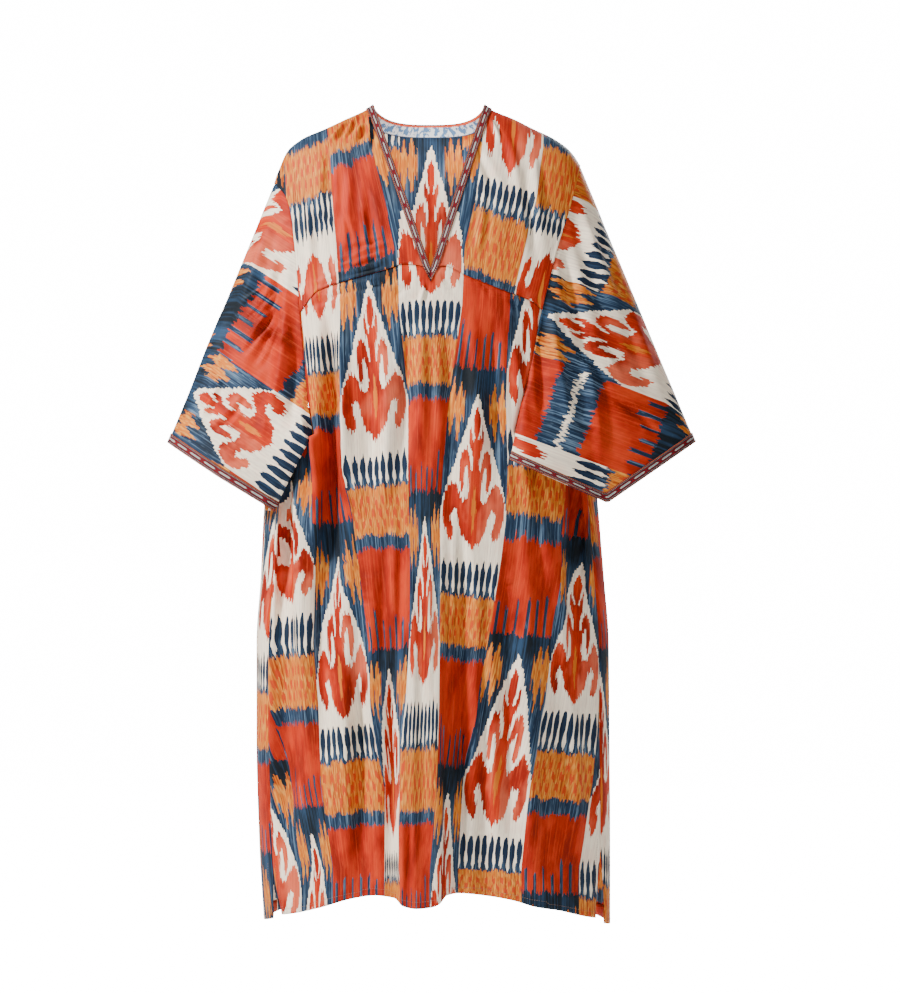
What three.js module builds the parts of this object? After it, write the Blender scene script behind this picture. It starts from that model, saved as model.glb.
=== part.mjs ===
import * as THREE from "three";

// A loose caftan as it hangs when worn, empty. Millimetres, +Z up, the front toward -Y.
// The wearer's right is at -X. The origin is level with the neck points, on the centre line.
const WALL = 1.6;
const HEM_WALL = 2.6;
const HEM_HEIGHT = 10;
const SEAM = 0.3;
const LIFT = 0.3;
const RIBBON = 1.2;
const BAND = 1.0;
const CUFF_RIBBON_WIDTH = 14.5;
const NECK_RIBBON_WIDTH = 12.5;
const BAND_HEIGHT = 17;
const NECK_X = { right: -83, left: 77 };
const V_POINT = -241;
const V_TIP = -262;
const BACK_NECK = -25;
const ROUNDNESS = 2.2;
const SLIT_TOP = { right: -1090, left: -1056 };
const CORNER_Z = -478;
const SEAM_TURN = { right: 24, left: 21 };
const YOKE_END = { right: -304, left: -301 };

// Half sections of the body at each height: the two sides, and how far the front and back stand out.
const OUTLINE = [
  { z: 0, right: -83, left: 77, front: 6, back: 12 },
  { z: -8, right: -96, left: 90, front: 17, back: 30 },
  { z: -20, right: -122, left: 119, front: 30, back: 45 },
  { z: -35, right: -154, left: 149, front: 42, back: 55 },
  { z: -49, right: -186, left: 178, front: 50, back: 62 },
  { z: -67, right: -208, left: 202, front: 58, back: 68 },
  { z: -88, right: -218, left: 216, front: 66, back: 75 },
  { z: -114, right: -227, left: 224, front: 75, back: 82 },
  { z: -152, right: -230, left: 229, front: 86, back: 89 },
  { z: -200, right: -232, left: 231, front: 97, back: 95 },
  { z: -300, right: -236, left: 235, front: 114, back: 102 },
  { z: -400, right: -238, left: 237, front: 121, back: 105 },
  { z: -474, right: -236, left: 236, front: 125, back: 107 },
  { z: -540, right: -239, left: 239, front: 127, back: 108 },
  { z: -600, right: -243, left: 244, front: 128, back: 109 },
  { z: -686, right: -247, left: 251, front: 130, back: 110 },
  { z: -780, right: -253, left: 258, front: 131, back: 112 },
  { z: -915, right: -253, left: 259, front: 133, back: 114 },
  { z: -1065, right: -249, left: 260, front: 135, back: 117 },
  { z: -1185, right: -242, left: 260, front: 137, back: 120 },
];

// Armhole edges seen from the front, at each height, and on the back.
const ARMHOLE = {
  right: {
    front: [
      { z: -114, x: -227 },
      { z: -135, x: -209 },
      { z: -152, x: -203 },
      { z: -184, x: -198 },
      { z: -253, x: -191 },
      { z: -304, x: -187 },
      { z: -348, x: -183 },
      { z: -428, x: -176 },
      { z: -478, x: -168 },
      { z: -1185, x: -150 },
    ],
    back: [
      { z: -114, x: -227 },
      { z: -140, x: -207 },
      { z: -190, x: -195 },
      { z: -300, x: -186 },
      { z: -478, x: -180 },
      { z: -1185, x: -188 },
    ],
  },
  left: {
    front: [
      { z: -88, x: 216 },
      { z: -118, x: 209 },
      { z: -156, x: 199 },
      { z: -206, x: 183 },
      { z: -245, x: 173 },
      { z: -301, x: 159 },
      { z: -371, x: 145 },
      { z: -457, x: 124 },
      { z: -478, x: 120 },
      { z: -1185, x: 150 },
    ],
    back: [
      { z: -88, x: 216 },
      { z: -125, x: 205 },
      { z: -190, x: 193 },
      { z: -300, x: 186 },
      { z: -478, x: 180 },
      { z: -1185, x: 192 },
    ],
  },
};

const YOKE_SEAM = {
  right: [
    { x: 0, z: -241 },
    { x: -41, z: -236 },
    { x: -51, z: -240 },
    { x: -125, z: -261 },
    { x: -162, z: -274 },
    { x: -187, z: -304 },
  ],
  left: [
    { x: 0, z: -241 },
    { x: 20, z: -239 },
    { x: 50, z: -252 },
    { x: 103, z: -273 },
    { x: 148, z: -291 },
    { x: 159, z: -301 },
  ],
};

const FRONT_HEM = [
  { x: -260, z: -1172 },
  { x: -207, z: -1165 },
  { x: -161, z: -1154 },
  { x: -115, z: -1140 },
  { x: -76, z: -1134 },
  { x: -52, z: -1137 },
  { x: -40, z: -1147 },
  { x: -20, z: -1151 },
  { x: 0, z: -1149 },
  { x: 12, z: -1145 },
  { x: 24, z: -1133 },
  { x: 40, z: -1130 },
  { x: 88, z: -1136 },
  { x: 116, z: -1141 },
  { x: 146, z: -1150 },
  { x: 181, z: -1157 },
  { x: 228, z: -1170 },
  { x: 270, z: -1178 },
];
const BACK_HEM = { middle: -1135, fall: 43, half: 240 };

// Long folds. "out" is how far one stands out, negative for a trough; soft sides in millimetres.
const FRONT_FOLDS = [
  { top: -520, full: -900, foot: -1300, xTop: -9, xFoot: -16, reach: 24, right: 10, left: 16, out: 20 },
  { top: -470, full: -600, foot: -820, xTop: -144, xFoot: -140, reach: 4, right: 22, left: 26, out: -13 },
  { top: -500, full: -590, foot: -760, xTop: -204, xFoot: -214, reach: 2, right: 14, left: 20, out: -20 },
  { top: -500, full: -580, foot: -730, xTop: 200, xFoot: 214, reach: 2, right: 22, left: 12, out: -20 },
  { top: -640, full: -950, foot: -1300, xTop: 66, xFoot: 88, reach: 4, right: 26, left: 30, out: -9 },
  { top: -700, full: -960, foot: -1300, xTop: -92, xFoot: -98, reach: 6, right: 28, left: 26, out: -8 },
  { top: -760, full: -1000, foot: -1300, xTop: 150, xFoot: 158, reach: 6, right: 28, left: 26, out: 7 },
];
const BACK_FOLDS = [
  { top: -360, full: -700, foot: -1300, xTop: 6, xFoot: 12, reach: 8, right: 30, left: 34, out: -13 },
  { top: -420, full: -760, foot: -1300, xTop: -74, xFoot: -92, reach: 10, right: 30, left: 28, out: 9 },
  { top: -520, full: -820, foot: -1300, xTop: 84, xFoot: 98, reach: 8, right: 32, left: 28, out: 11 },
  { top: -480, full: -640, foot: -1300, xTop: -158, xFoot: -156, reach: 4, right: 24, left: 28, out: -10 },
  { top: -560, full: -720, foot: -1300, xTop: 160, xFoot: 164, reach: 4, right: 26, left: 24, out: -9 },
];

// Sleeve mouths, seen from the front: the outer corner, the low corner and the inner corner.
const MOUTH = {
  right: {
    front: [
      { x: -380, z: -490, y: -14 },
      { x: -304, z: -540, y: -34 },
      { x: -224, z: -588, y: -60 },
    ],
    swell: 44,
    back: [
      { x: -224, z: -588, y: -60 },
      { x: -258, z: -562, y: -30 },
      { x: -300, z: -528, y: 10 },
      { x: -380, z: -490, y: -14 },
    ],
    backSwell: 26,
    underShare: 0.28,
  },
  left: {
    front: [
      { x: 382, z: -489, y: -14 },
      { x: 252, z: -577, y: -62 },
      { x: 113, z: -516, y: -120 },
    ],
    swell: 44,
    back: [
      { x: 113, z: -516, y: -120 },
      { x: 200, z: -548, y: -90 },
      { x: 262, z: -552, y: -30 },
      { x: 304, z: -526, y: 12 },
      { x: 382, z: -489, y: -14 },
    ],
    backSwell: 26,
    underShare: 0.58,
  },
};

const YOKE_ROWS = 10;
const SHOULDER_COLUMNS = 8;
const NECK_STEPS = [0, 2.5, 7, NECK_RIBBON_WIDTH, BAND_HEIGHT];
const NECK_COLUMNS = 10;
const SIDE_COLUMNS = { front: 4, back: 6 };
const SLEEVE_RINGS = 10;
const UPPER_LEVELS = [-348, -396, -438, CORNER_Z];
const LOWER_LEVELS = [-540, -590, -640, -695, -750, -810, -870, -930, -990, -1030, -1056, -1090];
const HEM_STEPS = [0.4, 0.75];
const SEAM_STEPS = [0, 0.35, 0.7];

// Folds die out near the sides: from this share of the half width, over this much of it.
const FOLD_SIDES = { from: 0.86, over: 0.1 };
const FOLD_HOLD = 0.3;
// Rows crowd together toward a shoulder, and a shoulder's own points toward the neck.
const ROW_CROWDING = 1.7;
const RIDGE_CROWDING = 1.5;
const RIDGE_PARTS = 400;
// Columns leave the yoke's spacing for an even one, a little wider apart toward the sides.
const COLUMN_EVEN = { near: 0.84, far: 0.16 };
const COLUMN_START = 0.1;
const COLUMN_DROP = 260;
// The slits gape wider from their tops down, by these turns in degrees.
const SLIT_DROP = 110;
const SLIT_SPREAD = { right: { front: 6.5, back: -3.5 }, left: { front: 4.5, back: -4.5 } };
const EDGE_GUESS = { front: 1.2, back: 0.95 };
// The scoop of the back of the neck.
const SCOOP = { sides: 3.2, depth: 0.6 };
// How far the sleeves stand off the body: in the middle of each face and at the inner corner of the mouth.
const CLEARANCE = {
  front: { inner: 12, outer: 19, share: 0.1 },
  back: { inner: 12, outer: 6, share: 0.06 },
  underarm: 1,
  grown: 0.15,
  fade: 45,
};
const RING_CROWDING = 1.15;
const MOUTH_BOW = 0.55;
const TIP_GAP = 0.15;
const NORMAL_STEP = 0.4;
const ON_RIDGE = 0.01;
const MERGE = 50;
const SHORTEST_PULL = 0.3;

const SIDES = ["right", "left"];
const rad = (degrees) => (degrees * Math.PI) / 180;
const lerp = (a, b, t) => a + (b - a) * t;
const clamp = (v, a, b) => Math.min(b, Math.max(a, v));
const ease = (t) => {
  const c = clamp(t, 0, 1);
  return c * c * (3 - 2 * c);
};
const add = (a, b, k = 1) => [a[0] + b[0] * k, a[1] + b[1] * k, a[2] + b[2] * k];
const sub = (a, b) => add(a, b, -1);
const dot = (a, b) => a[0] * b[0] + a[1] * b[1] + a[2] * b[2];
const size = (a) => Math.sqrt(dot(a, a));
const unit = (a) => {
  const l = size(a) || 1;
  return [a[0] / l, a[1] / l, a[2] / l];
};
const cross = (a, b) => [
  a[1] * b[2] - a[2] * b[1],
  a[2] * b[0] - a[0] * b[2],
  a[0] * b[1] - a[1] * b[0],
];

// A smooth curve through a table's rows: the value of one column where another has the value given.
function track(table, given, wanted) {
  const rows = [...table].sort((a, b) => a[given] - b[given]);
  const last = rows.length - 1;
  const steep = rows.map((r, i) => {
    const a = rows[Math.max(0, i - 1)];
    const b = rows[Math.min(last, i + 1)];
    const before = (r[wanted] - a[wanted]) / (r[given] - a[given] || 1);
    const after = (b[wanted] - r[wanted]) / (b[given] - r[given] || 1);
    if (i === 0) return after;
    if (i === last) return before;
    return before * after <= 0 ? 0 : (2 * before * after) / (before + after);
  });
  return (v) => {
    const g = clamp(v, rows[0][given], rows[last][given]);
    let i = 0;
    while (i < last - 1 && g > rows[i + 1][given]) i += 1;
    const h = rows[i + 1][given] - rows[i][given];
    const t = (g - rows[i][given]) / h;
    const a = rows[i][wanted];
    const b = rows[i + 1][wanted];
    const t2 = t * t;
    const t3 = t2 * t;
    return (
      (2 * t3 - 3 * t2 + 1) * a +
      (t3 - 2 * t2 + t) * h * steep[i] +
      (3 * t2 - 2 * t3) * b +
      (t3 - t2) * h * steep[i + 1]
    );
  };
}

const sideX = { right: track(OUTLINE, "z", "right"), left: track(OUTLINE, "z", "left") };
const depth = { front: track(OUTLINE, "z", "front"), back: track(OUTLINE, "z", "back") };
const armX = {
  right: {
    front: track(ARMHOLE.right.front, "z", "x"),
    back: track(ARMHOLE.right.back, "z", "x"),
  },
  left: { front: track(ARMHOLE.left.front, "z", "x"), back: track(ARMHOLE.left.back, "z", "x") },
};
const yokeZ = { right: track(YOKE_SEAM.right, "x", "z"), left: track(YOKE_SEAM.left, "x", "z") };
const frontHem = track(FRONT_HEM, "x", "z");
const backHem = (x) => BACK_HEM.middle - BACK_HEM.fall * (x / BACK_HEM.half) ** 2;

function foldOut(folds, x, z, middle, half) {
  const window = 1 - ease((Math.abs(x - middle) / half - FOLD_SIDES.from) / FOLD_SIDES.over);
  let out = 0;
  for (const f of folds) {
    const grown = ease((f.top - z) / (f.top - f.full));
    const along = grown * (1 - ease((f.full - z) / (f.full - f.foot) - FOLD_HOLD));
    const at = x - lerp(f.xTop, f.xFoot, clamp((f.top - z) / (f.top - f.foot), 0, 1));
    const past = Math.abs(at) - f.reach;
    const soft = at < 0 ? f.right : f.left;
    out += f.out * along * (1 - ease(past / soft));
  }
  return out * window;
}

// The body's skin: a turn from the left side (0) over the front (quarter) to the right side (half) and back.
function bodyParts(turn, z) {
  const r = sideX.right(z);
  const l = sideX.left(z);
  const middle = (r + l) / 2;
  const half = (l - r) / 2;
  const face = Math.sin(turn) >= 0 ? "front" : "back";
  const c = Math.cos(turn);
  const s = Math.abs(Math.sin(turn));
  const k = 2 / ROUNDNESS;
  const x = middle + half * Math.sign(c) * Math.abs(c) ** k;
  const y = (face === "front" ? -1 : 1) * depth[face](z) * s ** k;
  return { x, y, middle, half, face };
}

const FOLDS = { front: FRONT_FOLDS, back: BACK_FOLDS };

function bodyNormal(x, y, z, face) {
  const level = (px, py, pz) => {
    const r = sideX.right(pz);
    const l = sideX.left(pz);
    const middle = (r + l) / 2;
    const half = (l - r) / 2;
    const fold = foldOut(FOLDS[face], px, pz, middle, half);
    const flat = py + (face === "front" ? fold : -fold);
    const a = Math.abs((px - middle) / half);
    const b = Math.abs(flat / depth[face](pz));
    return a ** ROUNDNESS + b ** ROUNDNESS;
  };
  const e = NORMAL_STEP;
  const up = z > -e ? 0 : e;
  return unit([
    (level(x + e, y, z) - level(x - e, y, z)) / (2 * e),
    Math.abs(y) < ON_RIDGE ? 0 : (level(x, y + e, z) - level(x, y - e, z)) / (2 * e),
    (level(x, y, z + up) - level(x, y, z - e)) / (e + up),
  ]);
}

function bodyAt(turn, z) {
  const b = bodyParts(turn, z);
  const fold = foldOut(FOLDS[b.face], b.x, z, b.middle, b.half);
  const y = b.y + (b.face === "front" ? -fold : fold);
  return { p: [b.x, y, z], n: bodyNormal(b.x, y, z, b.face) };
}

function turnAt(x, z, face) {
  const r = sideX.right(z);
  const l = sideX.left(z);
  const at = clamp((x - (r + l) / 2) / ((l - r) / 2), -1, 1);
  const turn = Math.acos(Math.sign(at) * Math.abs(at) ** (ROUNDNESS / 2));
  return face === "front" ? turn : 2 * Math.PI - turn;
}

const onBody = (x, z, face) => bodyAt(turnAt(x, z, face), z);

// A surface of joined quads, made into a wall between two heights over it.
class Sheet {
  constructor() {
    this.points = [];
    this.faces = [];
    this.seen = new Map();
  }

  vertex(v) {
    const key = v.p.map((c) => Math.round(c * MERGE)).join();
    if (!this.seen.has(key)) {
      this.seen.set(key, this.points.length);
      this.points.push({ p: v.p, n: v.n, wall: v.wall });
    }
    return this.seen.get(key);
  }

  quad(a, b, c, d) {
    const ring = [a, b, c, d].map((v) => this.vertex(v));
    const kept = ring.filter((v, i) => v !== ring[(i + 1) % 4]);
    const span = (m, n) => size(sub(this.points[m].p, this.points[n].p));
    if (kept.length === 4 && span(kept[1], kept[3]) < span(kept[0], kept[2])) kept.push(kept.shift());
    for (let i = 1; i < kept.length - 1; i += 1) this.faces.push([kept[0], kept[i], kept[i + 1]]);
  }

  grid(rows, keep = () => true) {
    for (let i = 0; i + 1 < rows.length; i += 1) {
      for (let j = 0; j + 1 < rows[i].length; j += 1) {
        if (keep(i, j)) this.quad(rows[i][j], rows[i][j + 1], rows[i + 1][j + 1], rows[i + 1][j]);
      }
    }
    return this;
  }

  faceNormal([a, b, c]) {
    const p = this.points;
    return cross(sub(p[b].p, p[a].p), sub(p[c].p, p[a].p));
  }

  rim() {
    const edges = new Map();
    for (const f of this.faces) {
      for (let k = 0; k < 3; k += 1) {
        const a = f[k];
        const b = f[(k + 1) % 3];
        if (!edges.delete(b + "," + a)) edges.set(a + "," + b, { a, b, f });
      }
    }
    return [...edges.values()];
  }

  // Turns every face the way its points' normals look.
  facing() {
    let sum = 0;
    for (const f of this.faces) sum += dot(this.faceNormal(f), this.points[f[0]].n);
    if (sum < 0) this.faces = this.faces.map(([a, b, c]) => [a, c, b]);
    return this;
  }

  // Draws the rim in by half a seam.
  drawIn(by) {
    const pull = this.points.map(() => [0, 0, 0]);
    for (const { a, b, f } of this.rim()) {
      const inward = unit(cross(this.faceNormal(f), sub(this.points[b].p, this.points[a].p)));
      pull[a] = add(pull[a], inward);
      pull[b] = add(pull[b], inward);
    }
    this.points.forEach((v, i) => {
      const l = size(pull[i]);
      if (l > SHORTEST_PULL) v.p = add(v.p, pull[i], (by * 2) / Math.max(l * l, 1));
    });
    return this;
  }

  mesh(name, inner, outer, colour) {
    const n = this.points.length;
    const at = [];
    for (const v of this.points) at.push(...add(v.p, v.n, outer));
    for (const v of this.points) at.push(...add(v.p, v.n, v.wall === undefined ? inner : -v.wall));
    const faces = [];
    for (const [a, b, c] of this.faces) faces.push(a, b, c, a + n, c + n, b + n);
    for (const { a, b } of this.rim()) faces.push(a, a + n, b + n, a, b + n, b);
    const geometry = new THREE.BufferGeometry();
    geometry.setAttribute("position", new THREE.Float32BufferAttribute(at, 3));
    geometry.setIndex(faces);
    geometry.computeVertexNormals();
    const made = new THREE.Mesh(geometry, new THREE.MeshStandardMaterial({ color: colour, roughness: 0.75 }));
    made.name = name;
    return made;
  }
}

// Points on the shoulder ridge of one side, at lengths from the neck point.
function ridge(side) {
  const end = ARMHOLE[side].front[0].z;
  const fine = [];
  for (let i = 0; i <= RIDGE_PARTS; i += 1) {
    const z = end * (i / RIDGE_PARTS) ** RIDGE_CROWDING;
    fine.push({ x: sideX[side](z), z, at: 0 });
    if (i) fine[i].at = fine[i - 1].at + Math.hypot(fine[i].x - fine[i - 1].x, fine[i].z - fine[i - 1].z);
  }
  const full = fine[RIDGE_PARTS].at;
  return (length) => {
    let i = 1;
    while (i < RIDGE_PARTS && fine[i].at < length) i += 1;
    const a = fine[i - 1];
    const b = fine[i];
    const t = clamp((length - a.at) / (b.at - a.at), 0, 1);
    return { x: lerp(a.x, b.x, t), z: lerp(a.z, b.z, t), full };
  };
}

const ridgeOf = { right: ridge("right"), left: ridge("left") };
const ridgeLengths = (side) => {
  const full = ridgeOf[side](0).full;
  const lengths = [...NECK_STEPS];
  for (let k = 1; k <= SHOULDER_COLUMNS; k += 1) {
    lengths.push(lerp(BAND_HEIGHT, full, k / SHOULDER_COLUMNS));
  }
  return lengths;
};

// A patch between four edges, in the plane seen from the front.
function patch(top, foot, first, last, u, t) {
  const blend = (key) =>
    lerp(top(u)[key], foot(u)[key], t) +
    lerp(first(t)[key], last(t)[key], u) -
    lerp(lerp(top(0)[key], foot(0)[key], t), lerp(top(1)[key], foot(1)[key], t), u);
  return { x: blend("x"), z: blend("z") };
}

const rowShare = (i, n) => (i / n) ** ROW_CROWDING;

function yokeGrid(side) {
  const lengths = ridgeLengths(side);
  const full = lengths[lengths.length - 1];
  const shares = lengths.map((l) => l / full);
  const armTop = ARMHOLE[side].front[0].z;
  const armEnd = armX[side].front(YOKE_END[side]);
  const top = (u) => ridgeOf[side](u * full);
  const foot = (u) => ({ x: armEnd * u, z: yokeZ[side](armEnd * u) });
  const neck = (t) => ({ x: NECK_X[side] * (1 - t), z: V_POINT * t });
  const arm = (t) => {
    const z = lerp(armTop, YOKE_END[side], t);
    return { x: armX[side].front(z), z };
  };
  const rows = [];
  for (let i = 0; i <= YOKE_ROWS; i += 1) {
    const t = rowShare(i, YOKE_ROWS);
    rows.push(
      shares.map((u) => {
        const q = patch(top, foot, neck, arm, u, t);
        return onBody(q.x, q.z, "front");
      }),
    );
  }
  return rows;
}

const yokes = { right: yokeGrid("right"), left: yokeGrid("left") };
const yokeShares = (side) => {
  const lengths = ridgeLengths(side);
  return lengths.map((l) => l / lengths[lengths.length - 1]);
};

// Columns across the front below the bust seam, from the right side to the left.
function frontColumns() {
  const right = yokeShares("right").map((u, i, all) => ({ side: "right", u, even: i / (all.length - 1) }));
  const left = yokeShares("left").map((u, i, all) => ({ side: "left", u, even: i / (all.length - 1) }));
  return [...right.reverse(), ...left.slice(1)];
}

const openCut = (side, z) => ease((SLIT_TOP[side] - z) / SLIT_DROP) * (z < SLIT_TOP[side] ? 1 : 0);

function sideTurn(side, z, face) {
  const turn = rad(SEAM_TURN[side] + SLIT_SPREAD[side][face] * openCut(side, z));
  return side === "left" ? turn : Math.PI - turn;
}

const COLUMNS = frontColumns();

function frontRow(levelOf, spread) {
  const inner = COLUMNS.map(({ side, u, even }) => {
    const share = lerp(u, even * (COLUMN_EVEN.near + COLUMN_EVEN.far * even * even), spread);
    const guess = levelOf(share * armX[side].front(levelOf(0)));
    const x = share * armX[side].front(guess);
    return { turn: turnAt(x, levelOf(x), "front"), x };
  });
  const row = [];
  const count = SIDE_COLUMNS.front;
  for (const side of SIDES) {
    const edge = side === "right" ? inner[0] : inner[inner.length - 1];
    const ends = [];
    for (let k = 0; k < count; k += 1) {
      const seam = sideTurn(side, levelOf(edge.x * EDGE_GUESS.front), "front");
      const turn = lerp(seam, edge.turn, k / count);
      const z = levelOf(bodyParts(turn, levelOf(edge.x)).x);
      ends.push(bodyAt(lerp(sideTurn(side, z, "front"), edge.turn, k / count), z));
    }
    if (side === "right") row.push(...ends, ...inner.map((c) => bodyAt(c.turn, levelOf(c.x))));
    else row.push(...ends.reverse());
  }
  return row;
}

function hemRows(rowOf, hem, last) {
  const rows = HEM_STEPS.map((f) => rowOf((x) => lerp(last, hem(x) + HEM_HEIGHT, f)));
  rows.push(rowOf((x) => hem(x) + HEM_HEIGHT));
  const edge = rowOf(hem);
  for (const v of [...rows[rows.length - 1], ...edge]) v.wall = HEM_WALL;
  return [...rows, edge];
}

function frontSkirtGrid() {
  const seam = (x) => yokeZ[x < 0 ? "right" : "left"](x);
  const first = UPPER_LEVELS[0];
  const rows = [];
  for (const f of SEAM_STEPS) {
    rows.push(frontRow((x) => lerp(seam(x), first, f), COLUMN_START * f));
  }
  const spread = (z) => COLUMN_START + (1 - COLUMN_START) * ease((first - z) / COLUMN_DROP);
  for (const z of [...UPPER_LEVELS, ...LOWER_LEVELS]) rows.push(frontRow(() => z, spread(z)));
  rows.push(...hemRows((levelOf) => frontRow(levelOf, 1), frontHem, LOWER_LEVELS[LOWER_LEVELS.length - 1]));
  const seamRow = [...yokes.right[YOKE_ROWS]].reverse().concat(yokes.left[YOKE_ROWS].slice(1));
  seamRow.forEach((v, j) => {
    rows[0][SIDE_COLUMNS.front + j] = { p: v.p, n: v.n };
  });
  return rows;
}

const cornerRow = (before) => before + UPPER_LEVELS.indexOf(CORNER_Z);

const skirt = frontSkirtGrid();
const skirtKeep = (i, j) => {
  const count = SIDE_COLUMNS.front;
  if (j < count) return i >= cornerRow(SEAM_STEPS.length);
  if (j >= count + COLUMNS.length - 1) return i >= cornerRow(SEAM_STEPS.length);
  return true;
};

// The back's neck edge and the curves at set distances below it, from the right ridge to the left.
function collarRow(distance) {
  const ends = { right: ridgeOf.right(distance), left: ridgeOf.left(distance) };
  const row = [];
  for (let k = 0; k <= NECK_COLUMNS; k += 1) {
    const across = Math.sin(rad(-90 + (180 * k) / NECK_COLUMNS));
    const end = across < 0 ? ends.right : ends.left;
    const low = BACK_NECK - distance;
    const share = (1 - Math.abs(across) ** SCOOP.sides) ** SCOOP.depth;
    const x = Math.abs(across) * end.x;
    row.push(onBody(x, lerp(end.z, low, share), "back"));
  }
  return row;
}

const collar = NECK_STEPS.map(collarRow);

function backGrid() {
  const ridgeRow = (side) => {
    const points = ridgeLengths(side).slice(NECK_STEPS.length);
    return points.map((l) => {
      const q = ridgeOf[side](l);
      return onBody(q.x, q.z, "back");
    });
  };
  const outer = collar[collar.length - 1];
  const topRow = [...ridgeRow("right").reverse(), ...outer, ...ridgeRow("left")];
  const n = topRow.length - 1;
  const base = UPPER_LEVELS[0];
  const top = (u) => {
    const v = topRow[Math.round(u * n)].p;
    return { x: v[0], z: v[2] };
  };
  const foot = (u) => ({ x: lerp(armX.right.back(base), armX.left.back(base), u), z: base });
  const edge = (side) => (t) => {
    const z = lerp(ARMHOLE[side].back[0].z, base, t);
    return { x: armX[side].back(z), z };
  };
  const rows = [];
  for (let i = 0; i <= YOKE_ROWS; i += 1) {
    const t = rowShare(i, YOKE_ROWS);
    rows.push(
      topRow.map((v, j) => {
        if (!i) return v;
        const q = patch(top, foot, edge("right"), edge("left"), j / n, t);
        return onBody(q.x, q.z, "back");
      }),
    );
  }
  const rowOf = (levelOf) => {
    const inner = topRow.map((v, j) => {
      const xs = SIDES.map((side) => armX[side].back(levelOf(armX[side].back(levelOf(0)))));
      const x = lerp(xs[0], xs[1], j / n);
      return { x, z: levelOf(x), turn: turnAt(x, levelOf(x), "back") };
    });
    const count = SIDE_COLUMNS.back;
    const ends = (side) => {
      const from = side === "right" ? inner[0] : inner[n];
      const made = [];
      for (let k = 0; k < count; k += 1) {
        const z0 = levelOf(sideX[side](from.z) * EDGE_GUESS.back);
        const stop = sideTurn(side, z0, "back") + (side === "left" ? 2 * Math.PI : 0);
        const turn = lerp(stop, from.turn, k / count);
        const z = levelOf(bodyParts(turn, z0).x);
        const end = sideTurn(side, z, "back") + (side === "left" ? 2 * Math.PI : 0);
        made.push(bodyAt(lerp(end, from.turn, k / count), z));
      }
      return made;
    };
    return [
      ...ends("right"),
      ...inner.map((c) => bodyAt(c.turn, c.z)),
      ...ends("left").reverse(),
    ];
  };
  const count = SIDE_COLUMNS.back;
  const full = rows.map((row) => [
    ...Array(count).fill(row[0]),
    ...row,
    ...Array(count).fill(row[n]),
  ]);
  for (const z of [...UPPER_LEVELS.slice(1), ...LOWER_LEVELS]) full.push(rowOf(() => z));
  full.push(...hemRows(rowOf, backHem, LOWER_LEVELS[LOWER_LEVELS.length - 1]));
  return { rows: full, inner: n + 1 };
}

const back = backGrid();
const backKeep = (i, j) => {
  const count = SIDE_COLUMNS.back;
  if (j < count) return i >= cornerRow(YOKE_ROWS);
  if (j >= count + back.inner - 1) return i >= cornerRow(YOKE_ROWS);
  return true;
};

// The armhole's whole edge: down the front, round under the arm, and up the back.
function armholeLoop(side) {
  const f = SIDE_COLUMNS.front;
  const b = SIDE_COLUMNS.back;
  const yoke = yokes[side].map((row) => row[row.length - 1]);
  const frontEdge = side === "right" ? f : f + COLUMNS.length - 1;
  const backEdge = side === "right" ? b : b + back.inner - 1;
  const frontCorner = cornerRow(SEAM_STEPS.length);
  const backCorner = cornerRow(YOKE_ROWS);
  const down = skirt.slice(1, frontCorner + 1).map((row) => row[frontEdge]);
  const frontSide = skirt[frontCorner];
  const backSide = back.rows[backCorner];
  const under =
    side === "right"
      ? [...frontSide.slice(0, f).reverse(), ...backSide.slice(1, b)]
      : [...frontSide.slice(frontEdge + 1), ...backSide.slice(backEdge + 1, -1).reverse()];
  const up = back.rows
    .slice(1, backCorner + 1)
    .reverse()
    .map((row) => row[backEdge]);
  return { front: [...yoke, ...down], under, up };
}

const shares = (points) => {
  const at = [0];
  for (let i = 1; i < points.length; i += 1) at.push(at[i - 1] + size(sub(points[i].p, points[i - 1].p)));
  return at.map((l) => l / at[at.length - 1]);
};

// A point along a short path of corners, rounded out into a bow of the given swell.
function along(path, share, swell) {
  const lengths = [0];
  for (let i = 1; i < path.length; i += 1) {
    const a = path[i - 1];
    const b = path[i];
    lengths.push(lengths[i - 1] + Math.hypot(b.x - a.x, b.y - a.y, b.z - a.z));
  }
  const want = share * lengths[lengths.length - 1];
  let i = 1;
  while (i < path.length - 1 && lengths[i] < want) i += 1;
  const t = clamp((want - lengths[i - 1]) / (lengths[i] - lengths[i - 1]), 0, 1);
  const a = path[i - 1];
  const b = path[i];
  const bow = (4 * share * (1 - share)) ** MOUTH_BOW * swell;
  return [lerp(a.x, b.x, t), lerp(a.y, b.y, t) + bow, lerp(a.z, b.z, t)];
}

// Moves a point that is nearer the body than the clearance out to it, straight forward or away from the middle.
function clearOf(p, clearance, forward) {
  const z = Math.min(p[2], CORNER_Z);
  const r = sideX.right(z);
  const l = sideX.left(z);
  const middle = (r + l) / 2;
  const face = p[1] < 0 ? "front" : "back";
  const deep = depth[face](z) + clearance;
  const a = Math.abs(p[0] - middle) / ((l - r) / 2 + clearance);
  const b = Math.abs(p[1]) / deep;
  const q = (a ** ROUNDNESS + b ** ROUNDNESS) ** (1 / ROUNDNESS);
  if (forward) {
    const apart = -p[1] - deep * Math.max(0, 1 - a ** ROUNDNESS) ** (1 / ROUNDNESS);
    return [p[0], p[1] - (Math.hypot(apart, clearance) - apart) / 2, p[2]];
  }
  if (q >= 1) return p;
  return [middle + (p[0] - middle) / q, p[1] / q, p[2]];
}

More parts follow.
